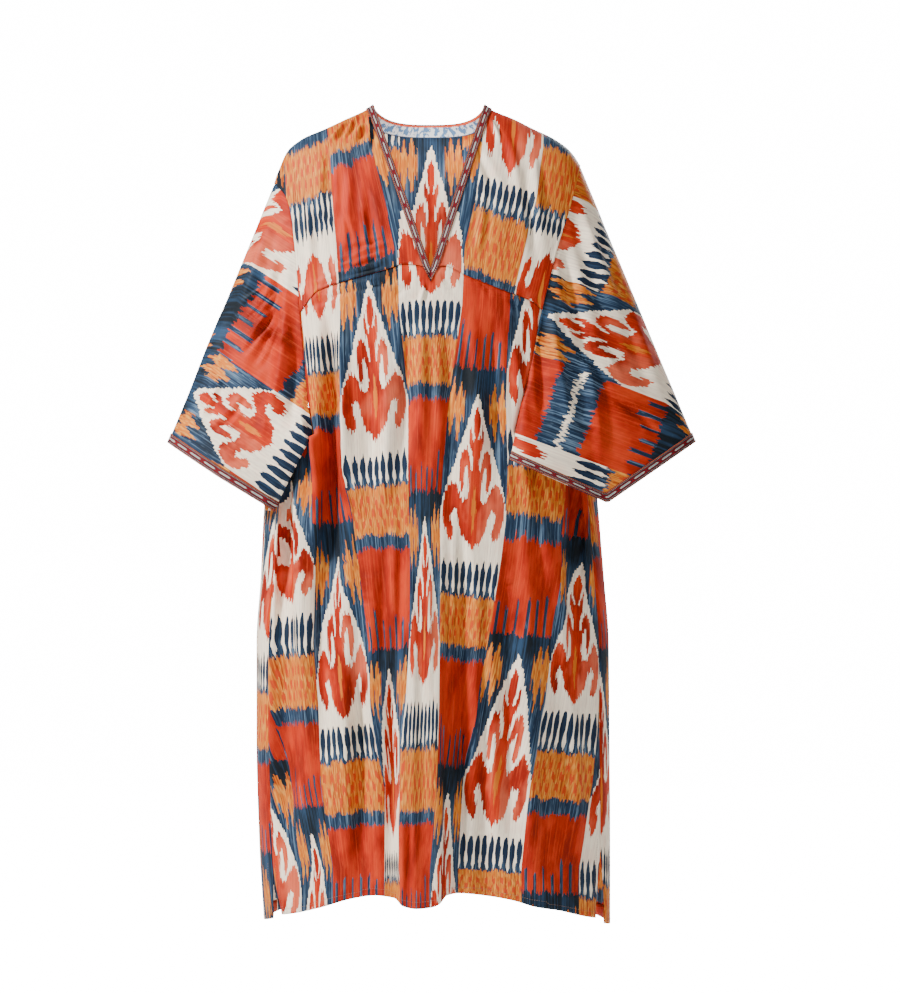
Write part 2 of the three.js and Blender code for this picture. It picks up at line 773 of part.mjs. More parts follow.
function sleeveRings(side) {
  const loop = armholeLoop(side);
  const start = [...loop.front, ...loop.under, ...loop.up];
  const nf = loop.front.length - 1;
  const frontShares = shares(loop.front);
  const underEnd = loop.under.length;
  const underShares = shares([loop.front[nf], ...loop.under, loop.up[0]]);
  const upShares = shares([...loop.up, loop.front[0]]);
  const mouth = MOUTH[side];
  const restShares = [
    ...underShares.map((u) => u * mouth.underShare),
    ...upShares.slice(1).map((u) => lerp(mouth.underShare, 1, u)),
  ];
  const ends = start.map((v, i) => {
    if (i <= nf) return along(mouth.front, frontShares[i], -mouth.swell);
    return along(mouth.back, restShares[i - nf], mouth.backSwell);
  });
  const rings = [];
  const count = start.length;
  for (let k = 0; k <= SLEEVE_RINGS + 1; k += 1) {
    const ring = start.map((v, i) => {
      const length = size(sub(ends[i], v.p));
      const cuff = 1 - CUFF_RIBBON_WIDTH / length;
      const s = k > SLEEVE_RINGS ? 1 : cuff * (k / SLEEVE_RINGS) ** RING_CROWDING;
      const p = add(v.p, sub(ends[i], v.p), s);
      if (!k && i >= nf && i <= nf + underEnd + 1) p[2] += CLEARANCE.underarm;
      const grown = clamp(s / CLEARANCE.grown, 0, 1);
      const room = CLEARANCE[i <= nf ? "front" : "back"];
      const fromInner = i <= nf ? 1 - frontShares[i] : restShares[i - nf];
      const clearance = lerp(room.inner, room.outer, ease(fromInner / room.share));
      const under = i >= nf && i <= nf + underEnd + 1;
      const low = under ? 1 : ease((CORNER_Z + CLEARANCE.fade - p[2]) / CLEARANCE.fade);
      const turned = i === nf || i === nf + underEnd + 1;
      const underArm = under && !(turned && !k);
      const apart = underArm ? lerp(CLEARANCE.underarm, clearance, grown) : clearance * grown * low;
      return { p: apart > 0 ? clearOf(p, apart, i <= nf) : p };
    });
    rings.push(ring);
  }
  rings.forEach((ring, k) => {
    ring.forEach((v, i) => {
      const before = ring[(i + count - 1) % count].p;
      const after = ring[(i + 1) % count].p;
      const higher = rings[Math.max(0, k - 1)][i].p;
      const lower = rings[Math.min(rings.length - 1, k + 1)][i].p;
      const n = unit(cross(sub(after, before), sub(lower, higher)));
      v.n = side === "left" ? n : [-n[0], -n[1], -n[2]];
    });
  });
  rings[0].forEach((v, i) => {
    const under = i > nf && i <= nf + underEnd;
    if (!under) v.n = start[i].n;
  });
  rings.forEach((ring) => ring.push(ring[0]));
  return rings;
}

const sleeves = { right: sleeveRings("right"), left: sleeveRings("left") };

const group = new THREE.Group();
const COLOURS = { cloth: 0xc8643c, ribbon: 0x8e2c38, band: 0x8fa6bd };
const put = (name, sheet, inner, outer, colour, drawn = SEAM / 2) =>
  group.add(sheet.facing().drawIn(drawn).mesh(name, inner, outer, colour));

for (const side of SIDES) {
  put("front_yoke_" + side, new Sheet().grid(yokes[side]), -WALL, 0, COLOURS.cloth);
}
put("front_skirt", new Sheet().grid(skirt, skirtKeep), -WALL, 0, COLOURS.cloth);
put("back", new Sheet().grid(back.rows, backKeep).grid(collar), -WALL, 0, COLOURS.cloth);
put("back_neck_band", new Sheet().grid(collar), -WALL - LIFT - BAND, -WALL - LIFT, COLOURS.band);

// The neck ribbon's two lengths, mitred together at the foot of the V and at the middle of the back.
const ribbonSteps = NECK_STEPS.indexOf(NECK_RIBBON_WIDTH) + 1;
for (const side of SIDES) {
  const middle = NECK_COLUMNS / 2;
  const stations = [];
  const tip = [];
  for (let d = 0; d < ribbonSteps; d += 1) {
    const z = lerp(V_POINT, V_TIP, NECK_STEPS[d] / NECK_RIBBON_WIDTH);
    tip.push(onBody(Math.sign(NECK_X[side]) * TIP_GAP, z, "front"));
  }
  stations.push(tip);
  for (let i = YOKE_ROWS; i >= 0; i -= 1) stations.push(yokes[side][i].slice(0, ribbonSteps));
  for (let k = 1; k <= middle; k += 1) {
    const at = side === "right" ? k : NECK_COLUMNS - k;
    stations.push(collar.slice(0, ribbonSteps).map((row) => row[at]));
  }
  put("neck_trim_" + side, new Sheet().grid(stations), LIFT, LIFT + RIBBON, COLOURS.ribbon);
}

for (const side of SIDES) {
  put("sleeve_" + side, new Sheet().grid(sleeves[side]), -WALL, 0, COLOURS.cloth, SEAM);
  const cuff = sleeves[side].slice(-2).map((row) => row.map((v) => ({ p: v.p, n: v.n })));
  put("cuff_trim_" + side, new Sheet().grid(cuff), LIFT, LIFT + RIBBON, COLOURS.ribbon, SEAM);
}

export default group;
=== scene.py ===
import math

import bpy
import numpy as np
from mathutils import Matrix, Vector


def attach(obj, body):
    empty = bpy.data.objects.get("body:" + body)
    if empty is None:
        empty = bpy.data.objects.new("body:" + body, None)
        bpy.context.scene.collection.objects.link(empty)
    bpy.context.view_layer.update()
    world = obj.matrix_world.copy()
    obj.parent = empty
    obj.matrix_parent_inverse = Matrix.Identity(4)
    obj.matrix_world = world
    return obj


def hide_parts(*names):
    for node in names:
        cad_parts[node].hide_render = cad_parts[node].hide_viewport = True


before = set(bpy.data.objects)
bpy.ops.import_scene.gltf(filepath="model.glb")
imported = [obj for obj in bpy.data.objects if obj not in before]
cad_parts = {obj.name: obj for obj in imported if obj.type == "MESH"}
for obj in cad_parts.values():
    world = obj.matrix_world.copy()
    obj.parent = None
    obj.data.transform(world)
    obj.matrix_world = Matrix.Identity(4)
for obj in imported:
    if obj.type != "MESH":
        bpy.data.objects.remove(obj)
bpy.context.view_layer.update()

# The caftan hangs as worn, empty, its front toward -Y. Lengths below are in mm, meshes in metres.
outline = {
    "z": [0, -8, -20, -35, -49, -67, -88, -114, -152, -200,
          -300, -400, -474, -540, -600, -686, -780, -915, -1065, -1185],
    "right": [-83, -96, -122, -154, -186, -208, -218, -227, -230, -232,
              -236, -238, -236, -239, -243, -247, -253, -253, -249, -242],
    "left": [77, 90, 119, 149, 178, 202, 216, 224, 229, 231,
             235, 237, 236, 239, 244, 251, 258, 259, 260, 260],
    "front": [6, 17, 30, 42, 50, 58, 66, 75, 86, 97, 114, 121, 125, 127, 128, 130, 131, 133, 135, 137],
    "back": [12, 30, 45, 55, 62, 68, 75, 82, 89, 95, 102, 105, 107, 108, 109, 110, 112, 114, 117, 120],
}
armholeEdge = {
    ("right", "front"): {"z": [-114, -135, -152, -184, -253, -304, -348, -428, -478, -1185],
                         "x": [-227, -209, -203, -198, -191, -187, -183, -176, -168, -150]},
    ("right", "back"): {"z": [-114, -140, -190, -300, -478, -1185],
                        "x": [-227, -207, -195, -186, -180, -188]},
    ("left", "front"): {"z": [-88, -118, -156, -206, -245, -301, -371, -457, -478, -1185],
                        "x": [216, 209, 199, 183, 173, 159, 145, 124, 120, 150]},
    ("left", "back"): {"z": [-88, -125, -190, -300, -478, -1185], "x": [216, 205, 193, 186, 180, 192]},
}
bustSeam = {
    "right": {"x": [0, -41, -51, -125, -162, -187], "z": [-241, -236, -240, -261, -274, -304]},
    "left": {"x": [0, 20, 50, 103, 148, 159], "z": [-241, -239, -252, -273, -291, -301]},
}
frontHem = {
    "x": [-260, -207, -161, -115, -76, -52, -40, -20, 0, 12, 24, 40, 88, 116, 146, 181, 228, 270],
    "z": [-1172, -1165, -1154, -1140, -1134, -1137, -1147, -1151, -1149,
          -1145, -1133, -1130, -1136, -1141, -1150, -1157, -1170, -1178],
}
foldColumns = ("top", "full", "foot", "xTop", "xFoot", "reach", "right", "left", "out")
frontFolds = [dict(zip(foldColumns, row)) for row in (
    (-520, -900, -1300, -9, -16, 24, 10, 16, 20),
    (-470, -600, -820, -144, -140, 4, 22, 26, -13),
    (-500, -590, -760, -204, -214, 2, 14, 20, -20),
    (-500, -580, -730, 200, 214, 2, 22, 12, -20),
    (-640, -950, -1300, 66, 88, 4, 26, 30, -9),
    (-700, -960, -1300, -92, -98, 6, 28, 26, -8),
    (-760, -1000, -1300, 150, 158, 6, 28, 26, 7),
)]
backFolds = [dict(zip(foldColumns, row)) for row in (
    (-360, -700, -1300, 6, 12, 8, 30, 34, -13),
    (-420, -760, -1300, -74, -92, 10, 30, 28, 9),
    (-520, -820, -1300, 84, 98, 8, 32, 28, 11),
    (-480, -640, -1300, -158, -156, 4, 24, 28, -10),
    (-560, -720, -1300, 160, 164, 4, 26, 24, -9),
)]
garment = {
    "neckX": {"right": -83, "left": 77},
    "vPoint": -241,
    "vTip": -262,
    "backNeck": -25,
    "scoopSides": 3.2,
    "scoopDepth": 0.6,
    "roundness": 2.2,
    "slitTop": {"right": -1090, "left": -1056},
    "slitSpread": {"right": {"front": 6.5, "back": -3.5}, "left": {"front": 4.5, "back": -4.5}},
    "slitDrop": 110,
    "cornerZ": -478,
    "seamTurn": {"right": 24, "left": 21},
    "yokeEnd": {"right": -304, "left": -301},
    "foldSides": 0.86,  # folds die out from this share of the half width
    "foldSideSoft": 0.1,
    "foldHold": 0.3,
    "backHemMiddle": -1135,
    "backHemFall": 43,
    "backHemHalf": 240,
    "hemHeight": 10,
    "cuffRibbon": 14.5,
    "neckRibbon": 12.5,
    "bandHeight": 17,
    "thick": 0.6,
}
sleeveMouth = {
    "right": {
        "front": [(-380, -14, -490), (-304, -34, -540), (-224, -60, -588)],
        "back": [(-224, -60, -588), (-258, -30, -562), (-300, 10, -528), (-380, -14, -490)],
        "swell": 44, "backSwell": 26, "underShare": 0.28,
    },
    "left": {
        "front": [(382, -14, -489), (252, -62, -577), (113, -120, -516)],
        "back": [(113, -120, -516), (200, -90, -548), (262, -30, -552), (304, 12, -526), (382, -14, -489)],
        "swell": 44, "backSwell": 26, "underShare": 0.58,
    },
}
sides = ("right", "left")


def lerp(a, b, t):
    return a + (b - a) * t


def ease(t):
    c = np.clip(t, 0.0, 1.0)
    return c * c * (3 - 2 * c)


def track(table, given, wanted):
    # a smooth curve through a table's values, with no overshoot
    order = np.argsort(table[given])
    g = np.array(table[given], float)[order]
    w = np.array(table[wanted], float)[order]
    slopes = np.diff(w) / np.diff(g)
    steep = np.zeros(len(g))
    steep[0], steep[-1] = slopes[0], slopes[-1]
    for i in range(1, len(g) - 1):
        a, b = slopes[i - 1], slopes[i]
        steep[i] = 0 if a * b <= 0 else 2 * a * b / (a + b)

    def at(value):
        v = np.clip(value, g[0], g[-1])
        i = np.clip(np.searchsorted(g, v) - 1, 0, len(g) - 2)
        h = g[i + 1] - g[i]
        t = (v - g[i]) / h
        t2, t3 = t * t, t * t * t
        return ((2 * t3 - 3 * t2 + 1) * w[i] + (t3 - 2 * t2 + t) * h * steep[i]
                + (3 * t2 - 2 * t3) * w[i + 1] + (t3 - t2) * h * steep[i + 1])

    return at


sideX = {side: track(outline, "z", side) for side in sides}
bodyDepth = {face: track(outline, "z", face) for face in ("front", "back")}
armX = {key: track(table, "z", "x") for key, table in armholeEdge.items()}
seamZ = {side: track(bustSeam[side], "x", "z") for side in sides}
hemZ = track(frontHem, "x", "z")


def backHemZ(x):
    return garment["backHemMiddle"] - garment["backHemFall"] * (x / garment["backHemHalf"]) ** 2


def foldOut(folds, x, z, middle, half):
    inside = 1 - ease((np.abs(x - middle) / half - garment["foldSides"]) / garment["foldSideSoft"])
    out = 0.0
    for f in folds:
        ending = (f["full"] - z) / (f["full"] - f["foot"]) - garment["foldHold"]
        along = ease((f["top"] - z) / (f["top"] - f["full"])) * (1 - ease(ending))
        at = x - lerp(f["xTop"], f["xFoot"], np.clip((f["top"] - z) / (f["top"] - f["foot"]), 0, 1))
        soft = np.where(at < 0, f["right"], f["left"])
        out = out + f["out"] * along * (1 - ease((np.abs(at) - f["reach"]) / soft))
    return out * inside


def bodyAt(turn, z):
    # a point of the body: turn 0 is the left side, a quarter the front, a half the right side
    turn, z = np.broadcast_arrays(np.asarray(turn, float), np.asarray(z, float))
    r, l = sideX["right"](z), sideX["left"](z)
    middle, half = (r + l) / 2, (l - r) / 2
    front = np.sin(turn) >= 0
    c, s = np.cos(turn), np.abs(np.sin(turn))
    k = 2 / garment["roundness"]
    x = middle + half * np.sign(c) * np.abs(c) ** k
    out = np.where(front, bodyDepth["front"](z), bodyDepth["back"](z)) * s ** k
    frontOut, backOut = (foldOut(folds, x, z, middle, half) for folds in (frontFolds, backFolds))
    out = out + np.where(front, frontOut, backOut)
    return np.stack([x, np.where(front, -out, out), z], -1)


def turnAt(x, z, face):
    r, l = sideX["right"](z), sideX["left"](z)
    at = np.clip((x - (r + l) / 2) / ((l - r) / 2), -1, 1)
    turn = np.arccos(np.sign(at) * np.abs(at) ** (garment["roundness"] / 2))
    return turn if face == "front" else 2 * math.pi - turn


def onBody(x, z, face):
    x, z = np.broadcast_arrays(np.asarray(x, float), np.asarray(z, float))
    return bodyAt(turnAt(x, z, face), z)


def lengthsAlong(points):
    # how far along its path each point lies
    return np.concatenate([[0], np.cumsum(np.linalg.norm(np.diff(points, axis=0), axis=1))])


def ridgeCurve(side, count=401, crowding=1.5):
    # points along the shoulder, by their length from the neck point
    end = armholeEdge[side, "front"]["z"][0]
    z = end * np.linspace(0, 1, count) ** crowding
    x = sideX[side](z)
    at = np.concatenate([[0], np.cumsum(np.hypot(np.diff(x), np.diff(z)))])
    return at[-1], lambda length: (np.interp(length, at, x), np.interp(length, at, z))


ridges = {side: ridgeCurve(side) for side in sides}


def patch(top, foot, first, last, u, t):
    # a patch between four edges, seen from the front, for a column share u and a row share t
    made = []
    for k in (0, 1):
        corners = lerp(lerp(top(0.0)[k], foot(0.0)[k], t), lerp(top(1.0)[k], foot(1.0)[k], t), u)
        made.append(lerp(top(u)[k], foot(u)[k], t) + lerp(first(t)[k], last(t)[k], u) - corners)
    return made


def yokePoints(side, u, t):
    full, ridgeAt = ridges[side]
    armTop = armholeEdge[side, "front"]["z"][0]
    armEnd = armX[side, "front"](garment["yokeEnd"][side])

    def arm(share):
        z = lerp(armTop, garment["yokeEnd"][side], share)
        return armX[side, "front"](z), z

    x, z = patch(lambda v: ridgeAt(v * full), lambda v: (armEnd * v, seamZ[side](armEnd * v)),
                 lambda v: (garment["neckX"][side] * (1 - v), garment["vPoint"] * v), arm, u, t)
    return onBody(x, z, "front")


def collarPoints(distance, across):
    # across runs from -1 at the right ridge to 1 at the left
    right, left = ridges["right"][1](distance), ridges["left"][1](distance)
    endX, endZ = np.where(across < 0, right[0], left[0]), np.where(across < 0, right[1], left[1])
    share = (1 - np.abs(across) ** garment["scoopSides"]) ** garment["scoopDepth"]
    return onBody(np.abs(across) * endX, lerp(endZ, garment["backNeck"] - distance, share), "back")


def sideTurn(side, z, face):
    past = garment["slitTop"][side] - z
    opened = ease(past / garment["slitDrop"]) * (past > 0)
    turn = np.radians(garment["seamTurn"][side] + garment["slitSpread"][side][face] * opened)
    return turn if side == "left" else math.pi - turn


skirtLook = {
    "columns": 74, "sideColumns": 22, "seamRows": 18, "rows": 150, "hemRows": 20,
    "neckSteps": [0, 2.5, 7], "shoulderSteps": 8, "evenNear": 0.84, "evenFar": 0.16,
    "startSpread": 0.1, "spreadDrop": 260, "seamFade": 5,
}


def frontShare(even, spread, side):
    # columns spaced as on the yoke above, and more evenly as the spread grows
    look, full = skirtLook, ridges[side][0]
    steps = look["neckSteps"] + [garment["neckRibbon"], garment["bandHeight"]]
    parts = look["shoulderSteps"]
    steps += [lerp(garment["bandHeight"], full, k / parts) for k in range(1, parts + 1)]
    place = np.linspace(0, 1, len(steps))
    u = np.interp(even, place, np.array(steps) / full)
    return lerp(u, even * (look["evenNear"] + look["evenFar"] * even * even), spread)


def frontRow(levelOf, spread):
    # one row across the front skirt, from the right side seam to the left one
    even = np.linspace(0, 1, skirtLook["columns"])
    k = np.linspace(0, 1, skirtLook["sideColumns"] + 1)[:-1]
    halves, flanks = [], []
    for side in sides:
        share = frontShare(even, spread, side)
        guess = levelOf(share * armX[side, "front"](levelOf(0.0)))
        x = share * armX[side, "front"](guess)
        level = levelOf(x)
        turns = turnAt(x, level, "front")
        halves.append((turns, level))
        x0 = bodyAt(lerp(sideTurn(side, level[-1], "front"), turns[-1], k), level[-1])[:, 0]
        z = levelOf(x0)
        flanks.append(bodyAt(lerp(sideTurn(side, z, "front"), turns[-1], k), z))
    turns, levels = (np.concatenate([halves[0][n][::-1], halves[1][n][1:]]) for n in (0, 1))
    return np.concatenate([flanks[0], bodyAt(turns, levels), flanks[1][::-1]])


backLook = {
    "ridgeColumns": 34, "neckColumns": 72, "neckRows": 9, "rows": 62, "crowding": 1.7, "lowRows": 140,
    "hemRows": 16, "sideColumns": 30, "topFade": 20,
}


def backRow(levelOf, shares):
    # one row across the back, from the right side seam to the left one
    ends = [armX[side, "back"](levelOf(armX[side, "back"](levelOf(0.0)))) for side in sides]
    x = lerp(ends[0], ends[1], shares)
    z = levelOf(x)
    turns = turnAt(x, z, "back")
    k = np.linspace(0, 1, backLook["sideColumns"] + 1)[:-1]
    flanks = []
    for side, end, whole in (("right", 0, 0), ("left", -1, 2 * math.pi)):
        x0 = bodyAt(lerp(sideTurn(side, z[end], "back") + whole, turns[end], k), z[end])[:, 0]
        level = levelOf(x0)
        flanks.append(bodyAt(lerp(sideTurn(side, level, "back") + whole, turns[end], k), level))
    return np.concatenate([flanks[0], bodyAt(turns, z), flanks[1][::-1]])


print("cut worked out")


def gridFaces(rows, columns, keep=None, wrap=False):
    index = np.arange(rows * columns).reshape(rows, columns)
    faces = np.stack([index[:-1, :-1], index[:-1, 1:], index[1:, 1:], index[1:, :-1]], -1)
    if wrap:
        closing = np.stack([index[:-1, -1], index[:-1, 0], index[1:, 0], index[1:, -1]], -1)
        faces = np.concatenate([faces, closing[:, None]], 1)
    if keep is not None:
        faces = faces[keep]
    return faces.reshape(-1, 4)


def pointNormals(points, faces):
    a, b, c, d = (points[faces[:, k]] for k in range(4))
    n = np.cross(c - a, d - b)
    total = np.zeros_like(points)
    for k in range(4):
        np.add.at(total, faces[:, k], n)
    length = np.linalg.norm(total, axis=1, keepdims=True)
    return total / np.where(length > 1e-9, length, 1)


def joined(points, faces, extra, stepsPerMm=20):
    # merges points that coincide, so the sheet has one skin
    keys = np.round(points * stepsPerMm).astype(np.int64)
    _, first, back = np.unique(keys, axis=0, return_index=True, return_inverse=True)
    back = back.reshape(-1)
    faces = back[faces]
    used = np.unique(faces)
    place = np.full(len(first), -1)
    place[used] = np.arange(len(used))
    points, extra = points[first][used], extra[first][used]
    faces = place[faces]
    good = [len(set(f)) >= 3 for f in faces.tolist()]
    return points, faces[np.array(good)], extra


def rimOf(faces):
    edges = {}
    for f in faces:
        ring = [v for k, v in enumerate(f) if v != f[k - 1]]
        for k in range(len(ring)):
            a, b = ring[k - 1], ring[k]
            if (b, a) in edges:
                del edges[b, a]
            else:
                edges[a, b] = True
    return list(edges)


clothAreas = {}


def clothShell(name, points, faces, extra, thick, outward, materials):
    # a closed wall: the outer skin given, an inner one under it, and a rim
    normals = pointNormals(points, faces)
    if np.sum(normals * outward(points)) < 0:
        faces = faces[:, ::-1]
        normals = -normals
    count = len(points)
    inner = points - normals * thick
    rings = [[v for k, v in enumerate(f) if v != f[k - 1]] for f in faces.tolist()]
    rim = rimOf(faces.tolist())
    made = [tuple(r) for r in rings]
    made += [tuple(v + count for v in reversed(r)) for r in rings]
    made += [(b, a, a + count, b + count) for a, b in rim]
    mesh = bpy.data.meshes.new(name)
    mesh.from_pydata([tuple(p) for p in np.concatenate([points, inner]) * 0.001], [], made)
    for material in materials:
        mesh.materials.append(material)
    # the inner skin takes the last material, which for the ikat pieces is the copy with painted light
    slots = [0] * len(rings) + [len(materials) - 1] * len(rings) + [0] * len(rim)
    mesh.polygons.foreach_set("material_index", slots)
    mesh.polygons.foreach_set("use_smooth", [True] * len(made))
    attribute = mesh.attributes.new("cloth", "FLOAT_VECTOR", "POINT")
    attribute.data.foreach_set("vector", np.concatenate([extra, extra]).astype(np.float32).ravel())
    mesh.validate()
    mesh.update()
    crosses = [np.cross(points[r[2]] - points[r[0]], points[r[-1]] - points[r[1]]) for r in rings]
    clothAreas[name] = float(np.sum(0.5 * np.linalg.norm(crosses, axis=1))) * 1e-6
    obj = bpy.data.objects.new(name, mesh)
    bpy.context.collection.objects.link(obj)
    return obj


def fromBody(points):
    # away from the body's middle line
    out = np.array(points)
    out[:, 2] = 0
    return out


creaseLook = {
    "strength": 3.4, "rise": 0.3, "fall": 0.45, "startWide": 0.75, "moreWide": 0.5,
    "beside": 0.35, "besideAt": 2.1,  # a low swell runs on both sides of each crease
}


def creased(points, normals, creases, fade):
    look = creaseLook
    moved = np.zeros(len(points))
    for face, rows in creases.items():
        here = points[:, 1] < 0 if face == "front" else points[:, 1] >= 0
        for x0, z0, x1, z1, wide, out, bend in rows:
            run = np.array([x1 - x0, z1 - z0], float)
            length = float(np.hypot(*run))
            along = ((points[:, 0] - x0) * run[0] + (points[:, 2] - z0) * run[1]) / length ** 2
            across = ((points[:, 0] - x0) * -run[1] + (points[:, 2] - z0) * run[0]) / length
            across = across - bend * 4 * along * (1 - along)
            grown = ease(along / look["rise"]) * ease((1 - along) / look["fall"])
            width = wide * (look["startWide"] + look["moreWide"] * along)
            swell = np.exp(-((np.abs(across) - look["besideAt"] * width) / width) ** 2)
            shape = np.exp(-(across / width) ** 2) - look["beside"] * swell
            moved += look["strength"] * out * grown * shape * here
    return points + normals * (moved * fade)[:, None]


repeatLength = 575
skirtCloth = {
    "heights": [-254, -297, -428, -529, -602, -660, -776, -863, -979, -1095],
    "edges": [
        [-222, -190, -131, -46, 47, 114, 187, 252],
        [-222, -187, -130, -45, 45, 113, 187, 252],
        [-215, -172, -126, -32, 26, 107, 190, 252],
        [-232, -167, -122, -32, 18, 110, 194, 252],
        [-237, -167, -110, -30, 13, 107, 187, 245],
        [-239, -164, -103, -29, 14, 100, 186, 245],
        [-240, -168, -88, -30, 13, 81, 175, 245],
        [-228, -162, -85, -35, 12, 64, 165, 242],
        [-206, -157, -67, -41, 9, 46, 141, 233],
        [-184, -139, -65, -43, -1, 39, 129, 212],
    ],
    "stacks": [
        [(-541, 0), (-725, 240), (-740, 262), (-790, 305), (-870, 392), (-892, 414), (-1008, 540),
         (-1044, 575)],
        [(-333, 250), (-341, 262), (-387, 305), (-450, 392), (-471, 414), (-602, 540), (-650, 575),
         (-889, 815), (-895, 837), (-938, 880), (-1016, 967), (-1037, 989), (-1143, 1115)],
        [(-258, 0), (-493, 240), (-512, 262), (-547, 305), (-623, 392), (-642, 414), (-783, 540), (-809, 575),
         (-1077, 837), (-1109, 880)],
        [(-241, 190), (-278, 232), (-287, 262), (-333, 305), (-406, 392), (-428, 414), (-558, 540),
         (-594, 575), (-863, 837), (-918, 880), (-1012, 967), (-1030, 989), (-1160, 1115)],
        [(-239, 414), (-384, 540), (-420, 575), (-648, 815), (-663, 837), (-703, 880), (-779, 967),
         (-800, 989), (-947, 1115), (-986, 1150)],
        [(-522, 305), (-594, 392), (-631, 414), (-764, 540), (-787, 575), (-1044, 815), (-1051, 837),
         (-1095, 880), (-1145, 967)],
        [(-660, 0), (-870, 240), (-877, 262), (-928, 305), (-1000, 392), (-1022, 414), (-1131, 540)],
    ],
    "droop": 0.1,
}
yokeCloth = {
    "heights": [-7, -65, -138, -210, -283],
    "edges": [
        [-212, -154, -91, 77, 165, 230],
        [-212, -146, -86, 74, 162, 226],
        [-208, -142, -67, 65, 151, 220],
        [-202, -135, -51, 49, 135, 208],
        [-198, -130, -45, 45, 117, 194],
    ],
    "stacks": [
        [(-33, 420), (-65, 392), (-145, 305), (-196, 262), (-283, 165)],
        [(-7, 330), (-65, 392), (-87, 414), (-232, 540), (-261, 575)],
        [(-20, 0), (-241, 190), (-276, 230), (-286, 262), (-330, 305)],
        [(0, 150), (-112, 240), (-120, 262), (-160, 305), (-254, 392), (-268, 414)],
        [(-43, 425), (-72, 392), (-167, 305), (-193, 262), (-283, 170)],
    ],
    "droop": 0.34,
}
backCloth = {
    "heights": [0, -1200],
    "edges": [[-325, -232, -139, -46, 46, 139, 232, 325], [-333, -239, -143, -48, 48, 143, 239, 333]],
    "stacks": [
        [(0, 120), (-575, 695)],
        [(0, 470), (-575, 1045)],
        [(0, 250), (-575, 825)],
        [(-51, 0), (-626, 575)],
        [(0, 330), (-575, 905)],
        [(0, 60), (-575, 635)],
        [(0, 400), (-575, 975)],
    ],
    "droop": 0.1,
}
# sleeves: the warp runs aslant, so the pattern is set by how far along it and across it a point lies
sleeveCloth = {
    "right": {
        "turn": 34.0,
        "heights": [-400, 600],
        "edges": [[79, 209, 339, 470, 600], [79, 209, 339, 470, 600]],
        "stacks": [
            [(-60, 392), (60, 414)],
            [(139, 110), (23, 240), (9, 262), (-50, 305)],
            [(103, 590), (55, 540), (-56, 414), (-75, 392), (-122, 305)],
            [(56, 0), (-90, 240), (-100, 262), (-151, 305)],
        ],
        "droop": 0.0,
    },
    "left": {
        "turn": 20.0,
        "heights": [-600, 600],
        "edges": [[56, 174, 291, 408, 525], [56, 174, 291, 408, 525]],
        "stacks": [
            [(-245, 200), (-277, 240), (-286, 262), (-320, 305), (-376, 392)],
            [(-260, 0), (-451, 240), (-470, 262), (-520, 305)],
            [(-245, 1939), (-306, 2000), (-371, 2065), (-470, 2191), (-506, 2226)],
            [(-245, 150), (-375, 262)],
        ],
        "droop": 0.0,
    },
}


stripes = {"outside": 80, "otherStage": 211.0, "spare": 3, "firstNumber": 4}


def patternAt(across, down, cloth):
    # (stripe number and place in it, place along the even stripes, place along the odd ones)
    heights = np.array(cloth["heights"], float)
    order = np.argsort(heights)
    edges = np.stack([np.interp(down, heights[order], np.array(cloth["edges"], float)[order, k])
                      for k in range(len(cloth["edges"][0]))])
    count = len(edges) - 1
    u = np.where(across < edges[0], (across - edges[0]) / stripes["outside"], 0.0)
    for k in range(count):
        share = (across - edges[k]) / (edges[k + 1] - edges[k])
        u = np.where(across >= edges[k], k + np.minimum(share, 1), u)
    u = np.where(across > edges[-1], count + (across - edges[-1]) / stripes["outside"], u)
    own = np.floor(u)
    near = np.where(u - own < 0.5, own - 1, own + 1)
    even = np.where(own % 2 == 0, own, near)
    odd = np.where(own % 2 == 1, own, near)
    places = [np.zeros(len(u)), np.zeros(len(u))]
    for k in range(-stripes["spare"], count + stripes["spare"]):
        at, stage = np.array(cloth["stacks"][k % count], float)[::-1].T
        if not 0 <= k < count:
            stage = stage + stripes["otherStage"]
        middle = (edges[k % count] + edges[k % count + 1]) / 2
        level = down + cloth["droop"] * (np.abs(across) - np.abs(middle)) * (0 <= k < count)
        place = np.interp(level, at, stage)
        for end, beside, past in ((0, 1, level < at[0]), (-1, -2, level > at[-1])):
            slope = (stage[end] - stage[beside]) / (at[end] - at[beside])
            place = np.where(past, stage[end] + np.sign(slope) * (level - at[end]), place)
        places[0] = np.where(even == k, place, places[0])
        places[1] = np.where(odd == k, place, places[1])
    return np.stack([u + stripes["firstNumber"], places[0], places[1]], -1)


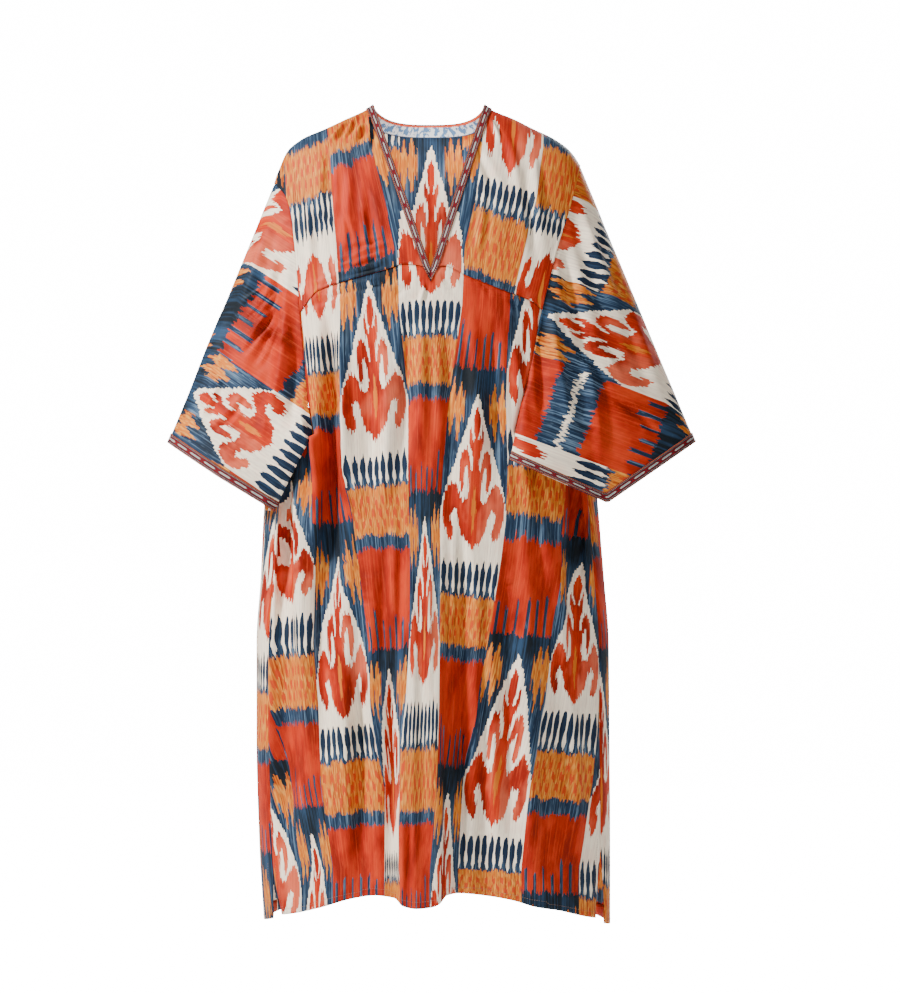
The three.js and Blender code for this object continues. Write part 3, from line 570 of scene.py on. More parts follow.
class Wire:
    # a socket in an expression: each operator on it adds one Math node
    def __init__(self, tree, socket):
        self.tree = tree
        self.socket = socket

    def node(self, kind, settings, inputs, output=0):
        made = self.tree.nodes.new(kind)
        for key, value in settings.items():
            if key == "points":
                curve = made.mapping.curves[0]
                while len(curve.points) < len(value):
                    curve.points.new(0.5, 0.5)
                for point, place in zip(curve.points, value):
                    point.location = place
                    point.handle_type = "VECTOR"
                made.mapping.update()
            elif key == "stops":
                for k, (place, colour) in enumerate(value):
                    stop = made.color_ramp.elements[k] if k < 2 else made.color_ramp.elements.new(place)
                    stop.position, stop.color = place, colour
            else:
                setattr(made, key, value)
        for key, value in inputs.items():
            if isinstance(value, Wire):
                self.tree.links.new(value.socket, made.inputs[key])
            else:
                made.inputs[key].default_value = value
        return Wire(self.tree, made.outputs[output])

    def maths(self, operation, *values, clamp=False):
        settings = {"operation": operation, "use_clamp": clamp}
        return self.node("ShaderNodeMath", settings, dict(enumerate(values)))

    def __add__(self, other):
        return self.maths("ADD", self, other)

    def __radd__(self, other):
        return self.maths("ADD", other, self)

    def __sub__(self, other):
        return self.maths("SUBTRACT", self, other)

    def __rsub__(self, other):
        return self.maths("SUBTRACT", other, self)

    def __mul__(self, other):
        return self.maths("MULTIPLY", self, other)

    def __rmul__(self, other):
        return self.maths("MULTIPLY", other, self)

    def __truediv__(self, other):
        return self.maths("DIVIDE", self, other)

    def __mod__(self, other):
        return self.maths("FLOORED_MODULO", self, other)

    def __gt__(self, other):
        return self.maths("GREATER_THAN", self, other)

    def __lt__(self, other):
        return self.maths("LESS_THAN", self, other)

    def __abs__(self):
        return self.maths("ABSOLUTE", self)

    def floor(self):
        return self.maths("FLOOR", self)

    def fraction(self):
        return self.maths("FRACT", self)

    def sine(self):
        return self.maths("SINE", self)

    def between(self, low, high):
        return (self > low) * (self < high)

    def rise(self, edge, soft):
        # 0 before the edge, 1 past it
        return self.maths("MULTIPLY_ADD", self, 1 / soft, 0.5 - edge / soft, clamp=True)

    def shaped(self, points, span):
        # a curve through the given points, over 0 to span
        scaled = [(x / span, y) for x, y in points]
        return self.node("ShaderNodeFloatCurve", {"points": scaled}, {1: self / span})

    def noise(self, x, y, detail=2.0, scale=1.0, z=0.0):
        at = self.node("ShaderNodeCombineXYZ", {}, {0: x, 1: y, 2: z})
        return self.node("ShaderNodeTexNoise", {}, {"Vector": at, "Scale": scale, "Detail": detail})

    def chance(self, value, second=0.0):
        at = self.node("ShaderNodeCombineXYZ", {}, {0: value, 1: second, 2: 0.0})
        return self.node("ShaderNodeTexWhiteNoise", {"noise_dimensions": "3D"}, {"Vector": at})

    def tint(self, under, over):
        # where this is 1, the colour over; where 0, the one under
        return self.node("ShaderNodeMix", {"data_type": "RGBA"}, {0: self, 6: under, 7: over}, 2)

    def shade(self, colour):
        # the colour made darker or lighter by this
        level = self.node("ShaderNodeCombineColor", {}, {0: self, 1: self, 2: self})
        settings = {"data_type": "RGBA", "blend_type": "MULTIPLY"}
        return self.node("ShaderNodeMix", settings, {0: 1.0, 6: colour, 7: level}, 2)


def sRgb(r, g, b):
    linear = [c / 255 / 12.92 if c < 11 else ((c / 255 + 0.055) / 1.055) ** 2.4 for c in (r, g, b)]
    return (*linear, 1.0)


def newMaterial(name):
    material = bpy.data.materials.new(name)
    material.use_nodes = True
    tree = material.node_tree
    return material, tree, tree.nodes["Principled BSDF"]


def clothPlaces(tree):
    # the three numbers that each point of a cloth carries, after a start for other nodes
    start = Wire(tree, None)
    place = start.node("ShaderNodeAttribute", {"attribute_name": "cloth"}, {}, 1)
    parts = start.node("ShaderNodeSeparateXYZ", {}, {0: place})
    return [start] + [Wire(tree, parts.socket.node.outputs[k]) for k in range(3)]


def finishCloth(tree, surface, colour, height, look):
    for key, value in look["surface"].items():
        surface.inputs[key].default_value = value
    relief = {"Height": height, "Strength": look["relief"], "Distance": look["reliefDepth"]}
    bump = colour.node("ShaderNodeBump", {}, relief)
    tree.links.new(colour.socket, surface.inputs["Base Color"])
    tree.links.new(bump.socket, surface.inputs["Normal"])


dyes = {
    "cream": sRgb(255, 238, 212), "creamDull": sRgb(230, 202, 180), "pink": sRgb(220, 112, 80),
    "red": sRgb(184, 38, 10), "redLight": sRgb(208, 72, 34), "redDeep": sRgb(104, 15, 8),
    "ochre": sRgb(206, 110, 32), "ochrePale": sRgb(230, 162, 72), "ochreDeep": sRgb(160, 62, 12),
    "blue": sRgb(42, 66, 92), "blueLight": sRgb(112, 136, 158), "indigo": sRgb(20, 33, 52),
    "charcoal": sRgb(22, 28, 34), "dot": sRgb(194, 62, 26),
}
ikatLook = {
    "threadsInStripe": 60, "feather": 6.0, "relief": 0.22, "reliefDepth": 0.0006,
    "surface": {"Roughness": 0.54, "Specular IOR Level": 0.1, "Sheen Weight": 0.02, "Sheen Roughness": 0.5},
}
# where the parts of one repeat lie along a stripe
repeat = {
    "charcoalEnds": 30, "charcoalSoft": 16, "tipAt": 60, "flameAt": 30, "dropEnds": 262, "heartAt": 172,
    "toothGround": (262, 310), "teeth": (256, 312), "toothBlueFrom": 296, "block": (312, 392),
    "dots": (328, 382), "dotsStart": 326, "dotPitch": 19, "band": (392, 414), "red": (414, 541),
    "comb": 486, "combUneven": 26,
    # another kind of block, past 1900: two blue bars and a pale one before its red
    "oddPast": 1900, "oddStart": 2000, "oddRepeat": 349, "oddBlue": 65, "oddPale": (29, 37),
}

# the drop and its plant, as (place along the stripe, half width as a share of the stripe)
motif = {
    "drop": [(0, 0), (12, 0.045), (41, 0.13), (71, 0.225), (101, 0.315), (130, 0.4), (160, 0.47), (185, 0.52),
             (262, 0.56)],
    "core": [(20, 0), (29, 0.035), (41, 0.062), (54, 0.058), (65, 0.034), (71, 0.022), (77, 0.1),
             (82, 0.095), (87, 0.07), (95, 0.06), (104, 0.05), (115, 0.052), (122, 0.075), (135, 0.098),
             (146, 0.09), (154, 0.1), (160, 0.125), (165, 0.4), (173, 0.4), (176, 0.31), (182, 0.25),
             (189, 0.232), (201, 0.208), (209, 0.185), (216, 0.15), (223, 0.11), (229, 0.05), (232, 0)],
    "budOut": [(48, 0), (51, 0.1), (58, 0.118), (68, 0.115), (78, 0.105), (84, 0)],
    "budIn": [(48, 0.1), (58, 0.088), (66, 0.06), (73, 0.036), (79, 0.01)],
    "upperOut": [(82, 0), (84, 0.17), (91, 0.222), (101, 0.245), (112, 0.25), (124, 0.246), (136, 0.234),
                 (146, 0.218), (153, 0.19), (157, 0)],
    "upperIn": [(82, 0.17), (88, 0.128), (95, 0.105), (106, 0.086), (116, 0.066), (123, 0.02), (150, 0.02)],
    "curlOut": [(107, 0), (110, 0.16), (118, 0.172), (132, 0.165), (141, 0.17), (150, 0.19), (157, 0.22)],
    "curlIn": [(107, 0.15), (113, 0.138), (122, 0.112), (134, 0.1), (150, 0.092), (157, 0.1)],
    "lowerOut": [(131, 0), (134, 0.35), (140, 0.39), (148, 0.42), (160, 0.455), (175, 0.468), (190, 0.462),
                 (202, 0.445), (212, 0.415), (221, 0.36), (225, 0)],
    "lowerIn": [(131, 0.34), (144, 0.268), (152, 0.232), (159, 0.205), (165, 0.02), (172, 0.02), (175, 0.3),
                (181, 0.345), (190, 0.335), (201, 0.305), (210, 0.295), (217, 0.31), (225, 0.35)],
}
toothWidths = [(0, 0), (254, 0), (262, 0.34), (273, 0.74), (284, 0.8), (293, 0.56), (299, 0.48), (304, 0.74),
               (309, 1), (575, 1)]


# the second number scales every colour; above 1 it is painted light, as for the lighter inside copy
def ikatMaterial(name, paintedLightLevel):
    material, tree, surface = newMaterial(name)
    start, u, vEven, vOdd = clothPlaces(tree)
    stripe = u.floor()
    v = vEven + (vOdd - vEven) * (stripe % 2)
    threads = ikatLook["threadsInStripe"]
    thread = (u * threads).floor()
    s = ((u.fraction() * threads).floor() + 0.5) / threads
    loose = start.chance(thread) - 0.5
    drift = start.noise(u * 8, v * 0.006, 1.0) - 0.5
    fine = start.noise(u * 50, v * 0.03, 1.0, 1.0, 3.0) - 0.5
    moved = v + (loose * 1.3 + drift * 2.6 + fine * 2.4) * ikatLook["feather"]
    odd = v > repeat["oddPast"]
    bar = moved - repeat["oddStart"]
    q = (moved + odd * (repeat["oddRepeat"] - repeat["oddStart"] + repeatLength * 4)) % repeatLength
    side = abs(s - 0.5) + fine * 0.04
    streak = start.noise(u * 42, v * 0.008, 3.0, 1.0, 7.0)
    dash = start.noise(u * 50, v * 0.05, 1.0, 1.0, 23.0)
    cloud = start.noise(u * 3.0, v * 0.012, 3.0, 1.0, 11.0)
    bleed = start.noise(u * 2.4, v * 0.016, 3.0, 1.0, 31.0)

    blue = streak.rise(0.5, 0.35).tint(dyes["indigo"], dyes["blue"])
    blue = (streak.rise(0.6, 0.16) * 0.7).tint(blue, dyes["blueLight"])
    blue = (dash.rise(0.66, 0.1) * 0.4).tint(blue, dyes["blueLight"])
    blue = ((1 - cloud).rise(0.6, 0.16) * 0.6).tint(blue, dyes["charcoal"])
    ochre = streak.rise(0.44, 0.14).tint(dyes["ochreDeep"], dyes["ochre"])
    ochre = (dash.rise(0.57, 0.14) * 0.7).tint(ochre, dyes["ochrePale"])
    red = (cloud.rise(0.6, 0.25) * 0.6).tint(dyes["red"], dyes["redLight"])
    red = ((1 - cloud).rise(0.54, 0.2) * 0.7).tint(red, dyes["redDeep"])
    red = (streak.rise(0.6, 0.12) * 0.35).tint(red, dyes["redLight"])
    red = (dash.rise(0.64, 0.08) * 0.3).tint(red, dyes["redLight"])
    charcoal = (streak * 0.5 + cloud * 0.5).rise(0.53, 0.14).tint(dyes["charcoal"], dyes["blue"])
    cream = (dash.rise(0.56, 0.2) * 0.45).tint(dyes["cream"], dyes["creamDull"])
    cream = (bleed.rise(0.62, 0.16) * 0.22).tint(cream, dyes["pink"])

    # the ground between the drops, with flames beside each tip
    nearTip = (q + repeat["tipAt"]) % repeatLength - repeat["tipAt"]
    flames = abs((s * 8).fraction() - 0.5) * 2
    flame = (abs(nearTip - repeat["flameAt"] + flames * 4) < 46 - flames * 38) * (side > 0.22)
    fading = q.rise(repeat["charcoalSoft"], repeat["charcoalEnds"])
    colour = (q < repeat["charcoalEnds"]).tint(blue, fading.tint(charcoal, blue))
    colour = flame.tint(colour, ochre)

    # the drop and the plant in it: half widths against the place along the stripe
    half = {key: q.shaped([(0, rows[0][1]), *rows, (repeatLength, rows[-1][1])], repeatLength)
            for key, rows in motif.items()}
    inDrop = (q < repeat["dropEnds"]) * (side < half["drop"])
    colour = inDrop.tint(colour, cream)
    core = side < half["core"]
    bud, upper, curl, lower = ((side < half[part + "Out"]) * (side > half[part + "In"])
                               for part in ("bud", "upper", "curl", "lower"))
    plant = core.maths("MAXIMUM", core, bud)
    plant = upper.maths("MAXIMUM", upper * (1 - curl), plant)
    plant = lower.maths("MAXIMUM", lower, plant) * inDrop
    colour = plant.tint(colour, red)
    blush = plant * (cloud + (s - 0.5) * 0.25).rise(0.56, 0.2) * (side > 0.07)
    colour = (blush * 0.6).tint(colour, dyes["pink"])
    heart = plant * (side < 0.036 - abs(q - repeat["heartAt"]) * 0.0009)
    colour = (heart * 0.9).tint(colour, dyes["ochre"])

    # teeth, streaked block with its dots, serrated band
    tooth = abs((u.fraction() * 9).fraction() - 0.5) * 2
    toothBlue = (streak.rise(0.55, 0.3) * 0.5).tint(dyes["indigo"], dyes["blue"])
    toothBlue = q.rise(repeat["toothBlueFrom"], 16).tint(toothBlue, blue)
    toothWide = q.shaped(toothWidths, repeatLength)
    colour = q.between(*repeat["toothGround"]).tint(colour, cream)
    colour = (q.between(*repeat["teeth"]) * (tooth < toothWide)).tint(colour, toothBlue)
    block = q.between(*repeat["block"])
    colour = block.tint(colour, ochre)
    dotRow = (q - repeat["dotsStart"]) / repeat["dotPitch"]
    dotAcross = abs((s * 8 + (dotRow.floor() % 2) * 0.5).fraction() - 0.5) < 0.2
    dotDown = abs(dotRow.fraction() - 0.5) < 0.36
    dots = block * dotAcross * dotDown * q.between(*repeat["dots"])
    colour = (dots * 0.9).tint(colour, dyes["dot"])
    colour = q.between(*repeat["band"]).tint(colour, blue)

    # red block with its comb, dark bar, and the other kind of block
    redFrom, redTo = repeat["red"]
    redBlock = q.between(redFrom, redTo)
    colour = redBlock.tint(colour, red)
    teeth = s * 6.5
    combTop = repeat["comb"] + start.chance(teeth.floor(), stripe) * repeat["combUneven"]
    comb = (abs(teeth.fraction() - 0.5) < 0.15) * (q > combTop)
    colour = (redBlock * comb).tint(colour, blue)
    colour = (q > redTo).tint(colour, charcoal)
    colour = (flame * (q > redTo)).tint(colour, ochre)
    colour = (odd * (bar < repeat["oddBlue"])).tint(colour, blue)
    colour = (odd * bar.between(*repeat["oddPale"])).tint(colour, cream)
    colour = (odd * (bar < 0)).tint(colour, red)

    # dye that took unevenly, thread by thread, times a level of painted light that lightens the inside copy
    worn = 0.68 + streak * 0.4 + start.chance(thread, 5.0) * 0.16
    rib = (u * (threads * 2 * math.pi)).sine() * (v * 5.2).sine()
    slub = start.noise(u * 46, v * 0.08, 2.0, 1.0, 17.0)
    finishCloth(tree, surface, (worn * paintedLightLevel).shade(colour), rib * 0.35 + slub, ikatLook)
    return material


ribbonLook = {
    "pitch": 27.0, "bead": 3.1, "navy": sRgb(17, 18, 34), "peach": sRgb(200, 96, 58),
    "white": sRgb(208, 192, 176), "grey": sRgb(58, 58, 70), "crimson": sRgb(126, 8, 20),
    "teal": sRgb(120, 152, 160),
    "relief": 0.5, "reliefDepth": 0.0005, "surface": {"Roughness": 0.75, "Specular IOR Level": 0.2},
}


def ribbonMaterial(name):
    look = ribbonLook
    material, tree, surface = newMaterial(name)
    start, run, over = clothPlaces(tree)[:3]
    fromMiddle = abs(over - 0.5)
    bead = (run / look["bead"]).fraction()
    dot = ((run + 0.8) / (look["bead"] * 0.7)).fraction()
    dots = (abs(dot - 0.5) < 0.24).tint(look["grey"], look["white"])
    colour = (bead < 0.26).tint(look["peach"], look["navy"])
    # lines from the edge to the middle
    for edge, line in ((0.38, look["navy"]), (0.32, dots), (0.28, look["navy"]), (0.22, look["crimson"])):
        colour = (fromMiddle < edge).tint(colour, line)
    along = abs(run % look["pitch"] - look["pitch"] / 2)
    taper = along.maths("MAXIMUM", along - 7.5, 0.0) * 0.026 + fromMiddle
    colour = (taper < 0.15).tint(colour, look["navy"])
    lozenge = taper < 0.085
    colour = lozenge.tint(colour, look["white"])
    colour = (lozenge * (fromMiddle < 0.035) * (along < 7)).tint(colour, look["teal"])
    colour = (fromMiddle > 0.455).tint(colour, look["navy"])
    weave = start.noise(run * 3, over * 40, 2.0)
    height = (run * 4.05).sine() * (fromMiddle > 0.2) * 0.5 + weave
    finishCloth(tree, surface, (0.68 + weave * 0.35).shade(colour), height, look)
    return material


bandLook = {
    "pitch": 12.5, "white": sRgb(226, 226, 226), "sky": sRgb(92, 126, 164), "rust": sRgb(200, 70, 40),
    "slate": sRgb(60, 74, 100),
    "relief": 0.25, "reliefDepth": 0.0005, "surface": {"Roughness": 0.75, "Specular IOR Level": 0.25},
}


def bandMaterial(name):
    # the facing inside the back of the neck, a small blue and white weave
    look = bandLook
    material, tree, surface = newMaterial(name)
    start, run, over = clothPlaces(tree)[:3]
    ragged = start.noise(run * 0.9, over * 1.2, 2.0) - 0.5
    flake = abs(((run / look["pitch"]).fraction() - 0.5) * 2)
    patches = start.noise(run * 0.16, over * 2.4, 2.0, 1.0, 5.0)
    pale = abs(over - 0.45) * 0.5 + flake * 0.2 + (0.5 - patches) * 2.2 + ragged * 1.2
    colour = (pale < 0.2).tint(look["white"], look["sky"])
    colour = (over + ragged * 0.25 < 0.12).tint(colour, look["rust"])
    colour = (over > 0.93).tint(colour, look["slate"])
    weave = start.noise(run * 2, over * 20, 2.0)
    finishCloth(tree, surface, (0.86 + weave * 0.25).shade(colour), ragged, look)
    return material


# the inside copy's colours are painted 1.15 times lighter, painted light standing in for light reaching the
# cloth's inner faces
clothOutsideAndPaintedInside = [ikatMaterial("ikatCloth", 1.0), ikatMaterial("ikatClothInsidePaintedLight", 1.15)]
ribbon = ribbonMaterial("wovenRibbon")
band = bandMaterial("neckFacing")
print("finishes made")

# creases as from x, z, to x, z, half width, how far out, and bend
frontCreases = [
    (-84, -14, -116, -52, 3.6, -1.6, 3), (-92, -14, -108, -66, 3.0, 1.5, 2),
    (-101, -12, -131, -44, 3.2, -1.3, 2), (-78, -26, -98, -80, 3.4, -1.2, 0),
    (-112, -14, -142, -62, 3.8, 1.2, 3), (-135, -180, -178, -150, 4.0, -1.0, 2),
    (-70, -200, -130, -216, 3.0, 0.9, 2), (-52, -204, -116, -226, 2.6, -1.2, -2),
    (-58, -222, -140, -246, 2.4, 1.2, 3), (-64, -214, -112, -230, 2.0, -0.9, 2),
    (-66, -232, -134, -246, 1.8, -1.5, 3), (-96, -226, -150, -232, 1.7, 1.1, 2),
    (-124, -246, -172, -262, 1.8, -1.3, 2), (-72, -244, -96, -270, 1.8, 1.2, 2),
    (-112, -252, -136, -280, 1.9, -1.2, 2), (-150, -262, -176, -292, 2.0, 1.2, 2),
    (66, -262, 88, -284, 1.9, -1.1, 2), (112, -274, 128, -300, 2.0, 1.1, 2),
    (-88, -18, -92, -60, 2.2, -1.5, 2), (-108, -20, -126, -58, 2.2, 1.4, 2),
    (-122, -24, -152, -60, 2.4, -1.3, 2), (84, -20, 100, -62, 2.6, -1.0, 2),
    (-100, -150, -92, -222, 3.4, -1.0, 2), (-124, -160, -112, -230, 3.4, 0.9, 2),
    (-48, -262, -190, -308, 2.6, -1.6, -9), (-44, -256, -120, -276, 2.2, 1.2, -4),
    (48, -256, 110, -286, 2.4, -1.4, 4), (104, -284, 150, -318, 3.0, -1.2, 2),
    (-22, -250, -60, -288, 2.6, -1.3, 3), (12, -250, 46, -284, 2.6, -1.2, -3),
    (-8, -262, -20, -300, 2.8, 1.1, 2), (30, -262, 70, -276, 2.2, 1.0, 2), (60, -60, 96, -150, 5.0, 1.1, 4),
    (108, -40, 128, -150, 6.0, -1.0, 3), (150, -70, 160, -190, 6.0, -1.2, -3),
    (132, -110, 150, -250, 6.0, 1.2, 4), (-150, -60, -150, -190, 6.0, 1.2, 3),
    (-176, -120, -166, -280, 5.5, -1.4, -2), (-118, -90, -122, -230, 6.0, -0.9, 2),
    (78, -120, 62, -240, 5.0, -1.0, 2), (-94, -120, -78, -230, 5.0, 0.8, 2),
]
skirtCreases = [
    (-150, -400, -140, -780, 15.0, -2.6, 4), (-168, -420, -164, -700, 9.0, 2.0, 3),
    (-128, -420, -120, -740, 9.0, 1.8, -3), (-210, -500, -214, -800, 10.0, -3.0, 2),
    (208, -500, 222, -800, 10.0, -3.0, -2), (150, -500, 176, -760, 9.0, 2.0, 4),
    (-52, -700, -60, -1160, 8.0, -3.0, 2), (24, -760, 30, -1160, 8.0, -2.6, -2),
    (-118, -672, -60, -690, 3.0, -0.9, 4), (-112, -716, -62, -724, 3.0, -0.9, 3),
    (-150, -290, -142, -520, 8.0, -2.2, 4), (-126, -300, -112, -560, 9.0, 1.8, -5),
    (-92, -300, -96, -620, 11.0, -1.8, 6), (-60, -320, -70, -640, 9.0, 1.4, 3),
    (-34, -300, -40, -560, 7.0, -1.8, 2), (-14, -300, -14, -560, 8.0, 1.6, 2),
    (22, -300, 26, -640, 9.0, -2.0, 4), (58, -290, 62, -600, 10.0, 1.8, 4),
    (90, -300, 100, -560, 8.0, -2.0, -4), (118, -330, 128, -560, 7.0, 1.6, 3),
    (-188, -520, -186, -900, 9.0, 2.0, 4), (-162, -620, -160, -1000, 10.0, -2.0, 5),
    (-122, -580, -112, -1120, 13.0, 2.2, -6), (-70, -640, -66, -1140, 10.0, -2.6, 4),
    (-50, -560, -62, -900, 7.0, 1.4, 2), (-2, -600, 2, -1150, 8.0, 1.2, -3),
    (44, -560, 40, -1140, 8.0, -2.4, 4), (66, -640, 64, -980, 9.0, 1.6, 4),
    (110, -620, 118, -1140, 11.0, -2.0, -5), (134, -560, 140, -900, 9.0, 1.8, 3),
    (172, -640, 176, -1160, 11.0, -2.2, 5), (204, -720, 206, -1160, 9.0, 1.6, 3),
    (-214, -700, -206, -1160, 10.0, -1.8, -4), (-30, -1000, -34, -1150, 5.0, -1.8, 0),
    (-204, -700, -206, -1120, 13.0, -3.2, 3), (-226, -640, -232, -1100, 6.0, 1.8, 0),
    (-146, -300, -152, -700, 10.0, -2.8, 3), (-110, -780, -96, -1160, 9.0, -2.4, 3),
    (-24, -700, -28, -1160, 9.0, 1.8, 2), (36, -700, 42, -1160, 9.0, -2.8, 2),
    (84, -700, 92, -1160, 9.0, 1.8, 3), (160, -780, 168, -1160, 9.0, -2.4, -3),
    (196, -560, 216, -1000, 9.0, -2.6, -2), (-178, -440, -176, -640, 6.0, -2.4, 2),
    (132, -470, 158, -640, 6.0, -2.2, 3), (-132, -660, -84, -676, 2.6, -1.1, 3),
    (-126, -690, -76, -702, 2.4, 0.9, 3), (-104, -742, -60, -748, 2.4, -0.8, 2),
    (100, -690, 132, -700, 2.6, -0.8, 2), (74, -900, 118, -912, 2.8, -0.8, 3),
    (-168, -480, -146, -620, 7.0, 1.6, 5), (146, -500, 186, -660, 8.0, -2.0, -6),
    (120, -480, 150, -620, 7.0, 1.8, 4), (-150, -400, -128, -500, 5.0, -1.4, 3),
]
backCreases = [
    (-120, -60, -150, -300, 9.0, -1.8, 5), (116, -60, 146, -310, 9.0, -1.8, -5),
    (-60, -120, -70, -420, 10.0, 1.5, 4), (48, -110, 58, -400, 10.0, 1.5, -4),
    (-168, -200, -160, -460, 7.0, 1.8, 3), (168, -210, 160, -470, 7.0, 1.7, -3),
    (4, -160, -4, -460, 11.0, -1.4, 3), (-30, -420, -36, -1100, 10.0, 2.0, 6),
    (40, -460, 46, -1110, 10.0, -2.2, 5), (-118, -480, -126, -1120, 12.0, -2.2, -6),
    (124, -520, 132, -1120, 11.0, 2.0, 5), (-190, -560, -192, -1130, 10.0, 1.8, 4),
    (192, -560, 198, -1130, 10.0, -1.8, 4), (-212, -500, -222, -900, 8.0, -1.8, -3),
    (214, -520, 226, -900, 8.0, 1.8, 3), (78, -300, 88, -700, 9.0, 1.2, 4),
]
seamLook = {"dip": 0.9, "wide": 2.2}


def seamed(moved, normals, gap):
    # draws the cloth in beside a seam, by how far from it each point is
    return moved - normals * (seamLook["dip"] * np.exp(-(gap / seamLook["wide"]) ** 2))[:, None]


def away(grid, edge):
    return np.linalg.norm(grid - edge, axis=2)


shown = {}
yokeLook = {
    "rows": 100, "columns": 92, "crowding": 1.7,
    "neckFade": 22, "ridgeFade": 14, "armFade": 10, "seamFade": 5,
}
yokeEdges = {}
for side in sides:
    t = np.linspace(0, 1, yokeLook["rows"]) ** yokeLook["crowding"]
    u = np.linspace(0, 1, yokeLook["columns"])
    grid = yokePoints(side, *np.meshgrid(u, t))
    yokeEdges[side] = grid
    points = grid.reshape(-1, 3)
    faces = gridFaces(*grid.shape[:2])
    if side == "right":
        faces = faces[:, ::-1]
    normals = pointNormals(points, faces)
    toSeam, toArm, toNeck, toRidge = (away(grid, edge).reshape(-1)
                                      for edge in (grid[-1:], grid[:, -1:], grid[:, :1], grid[:1]))
    fade = ease(toNeck / yokeLook["neckFade"]) * ease(toRidge / yokeLook["ridgeFade"])
    fade = fade * ease(toArm / yokeLook["armFade"]) * ease(toSeam / yokeLook["seamFade"])
    moved = creased(points, normals, {"front": frontCreases}, fade)
    moved = seamed(moved, normals, np.minimum(toSeam, toArm))
    extra = patternAt(points[:, 0], points[:, 2], yokeCloth)
    shown["yoke" + side] = clothShell("frontYoke" + side.capitalize(), moved, faces, extra, garment["thick"],
                                      fromBody, clothOutsideAndPaintedInside)

bodyLook = {"firstZ": -348.0, "lastZ": -1090.0, "armFade": 14, "sideFade": 12, "farAway": 60.0}
hemLook = {"first": (0.9, 0.3), "under": 1.7, "heights": (0.35, 0.7, 1.0)}
firstZ, lastZ = bodyLook["firstZ"], bodyLook["lastZ"]


def seamLevel(x):
    return np.where(np.asarray(x) < 0, seamZ["right"](x), seamZ["left"](x))


def evenLevel(z):
    return lambda x: z + 0 * np.asarray(x)


def withCorner(levels):
    # moves the nearest level to the corner under the arm, and says which it is
    nearest = int(np.argmin(abs(levels - garment["cornerZ"])))
    levels[nearest] = garment["cornerZ"]
    return levels, nearest


def bodyEdges(grid, corner, sideCount):
    # the faces that are kept, and how far each point lies from armholes and side seams
    rows, columns = grid.shape[:2]
    last = columns - 1 - sideCount
    keep = np.ones((rows - 1, columns - 1), bool)
    keep[:corner, :sideCount] = False
    keep[:corner, last:] = False
    row, column = np.arange(rows)[:, None], np.arange(columns)[None, :]
    onFlank = (column < sideCount) | (column > last)
    toArm = np.minimum(away(grid, grid[:, sideCount:sideCount + 1]), away(grid, grid[:, last:last + 1]))
    below = np.where(onFlank, away(grid, grid[corner:corner + 1]), bodyLook["farAway"])
    toArm = np.where(row <= corner, toArm, below)
    toSide = np.minimum(away(grid, grid[:, :1]), away(grid, grid[:, -1:]))
    toSide = np.where(row >= corner, toSide, bodyLook["farAway"])
    return keep, toArm, toSide


def bodySheet(grid, face, creases, fade, gap):
    # the grid's points with their creases, drawn in at the seams
    points = grid.reshape(-1, 3)
    normals = pointNormals(points, gridFaces(*grid.shape[:2]))
    if np.sum(normals[:, 1] * (1 if face == "back" else -1)) < 0:
        normals = -normals
    moved = creased(points, normals, {face: creases}, fade.reshape(-1))
    return seamed(moved, normals, gap.reshape(-1)).reshape(grid.shape)


def withHem(grid, extra, keep):
    # turns the last rows in under themselves, as a hem
    normals = pointNormals(grid.reshape(-1, 3), gridFaces(*grid.shape[:2])).reshape(grid.shape)
    if np.sum(normals[..., 1] * grid[..., 1]) < 0:
        normals = -normals
    last = grid[-1]
    inward, drop = hemLook["first"]
    turned = [last - normals[-1] * inward + np.array([0, 0, -drop])]
    for up in hemLook["heights"]:
        k = len(grid) - 2
        while k > 0 and last[:, 2].mean() + garment["hemHeight"] * up > grid[k][:, 2].mean():
            k -= 1
        turned.append(grid[k] - normals[k] * hemLook["under"])
    whole = np.concatenate([grid, np.stack(turned)])
    places = extra.reshape(grid.shape)
    places = np.concatenate([places] + [places[-1:]] * len(turned))
    keep = np.concatenate([keep, np.ones((len(turned), grid.shape[1] - 1), bool)])
    return whole.reshape(-1, 3), gridFaces(*whole.shape[:2], keep), places.reshape(-1, 3)


skirtRows = []
for f in np.linspace(0, 1, skirtLook["seamRows"])[:-1]:
    skirtRows.append(frontRow(lambda x, f=f: lerp(seamLevel(x), firstZ, f), skirtLook["startSpread"] * f))
levels, cornerIndex = withCorner(np.linspace(firstZ, lastZ, skirtLook["rows"]))
cornerRow = len(skirtRows) + cornerIndex
for z in levels:
    grown = ease((firstZ - z) / skirtLook["spreadDrop"])
    skirtRows.append(frontRow(evenLevel(z), lerp(skirtLook["startSpread"], 1, grown)))
for f in np.linspace(0, 1, skirtLook["hemRows"])[1:]:
    skirtRows.append(frontRow(lambda x, f=f: lerp(lastZ, hemZ(x), f), 1.0))
skirtGrid = np.stack(skirtRows)
keep, toArm, toSide = bodyEdges(skirtGrid, cornerRow, skirtLook["sideColumns"])
toSeam = away(skirtGrid, skirtGrid[:1])
fade = ease(toSeam / skirtLook["seamFade"]) * ease(toArm / bodyLook["armFade"])
fade = fade * ease(toSide / bodyLook["sideFade"])
gap = np.minimum(np.minimum(toSeam, toArm), toSide)
frontShown = bodySheet(skirtGrid, "front", skirtCreases + frontCreases, fade, gap)
extra = patternAt(skirtGrid[..., 0].reshape(-1), skirtGrid[..., 2].reshape(-1), skirtCloth)
shown["skirt"] = clothShell("frontSkirt", *joined(*withHem(frontShown, extra, keep)), garment["thick"],
                            fromBody, clothOutsideAndPaintedInside)
print("front made")

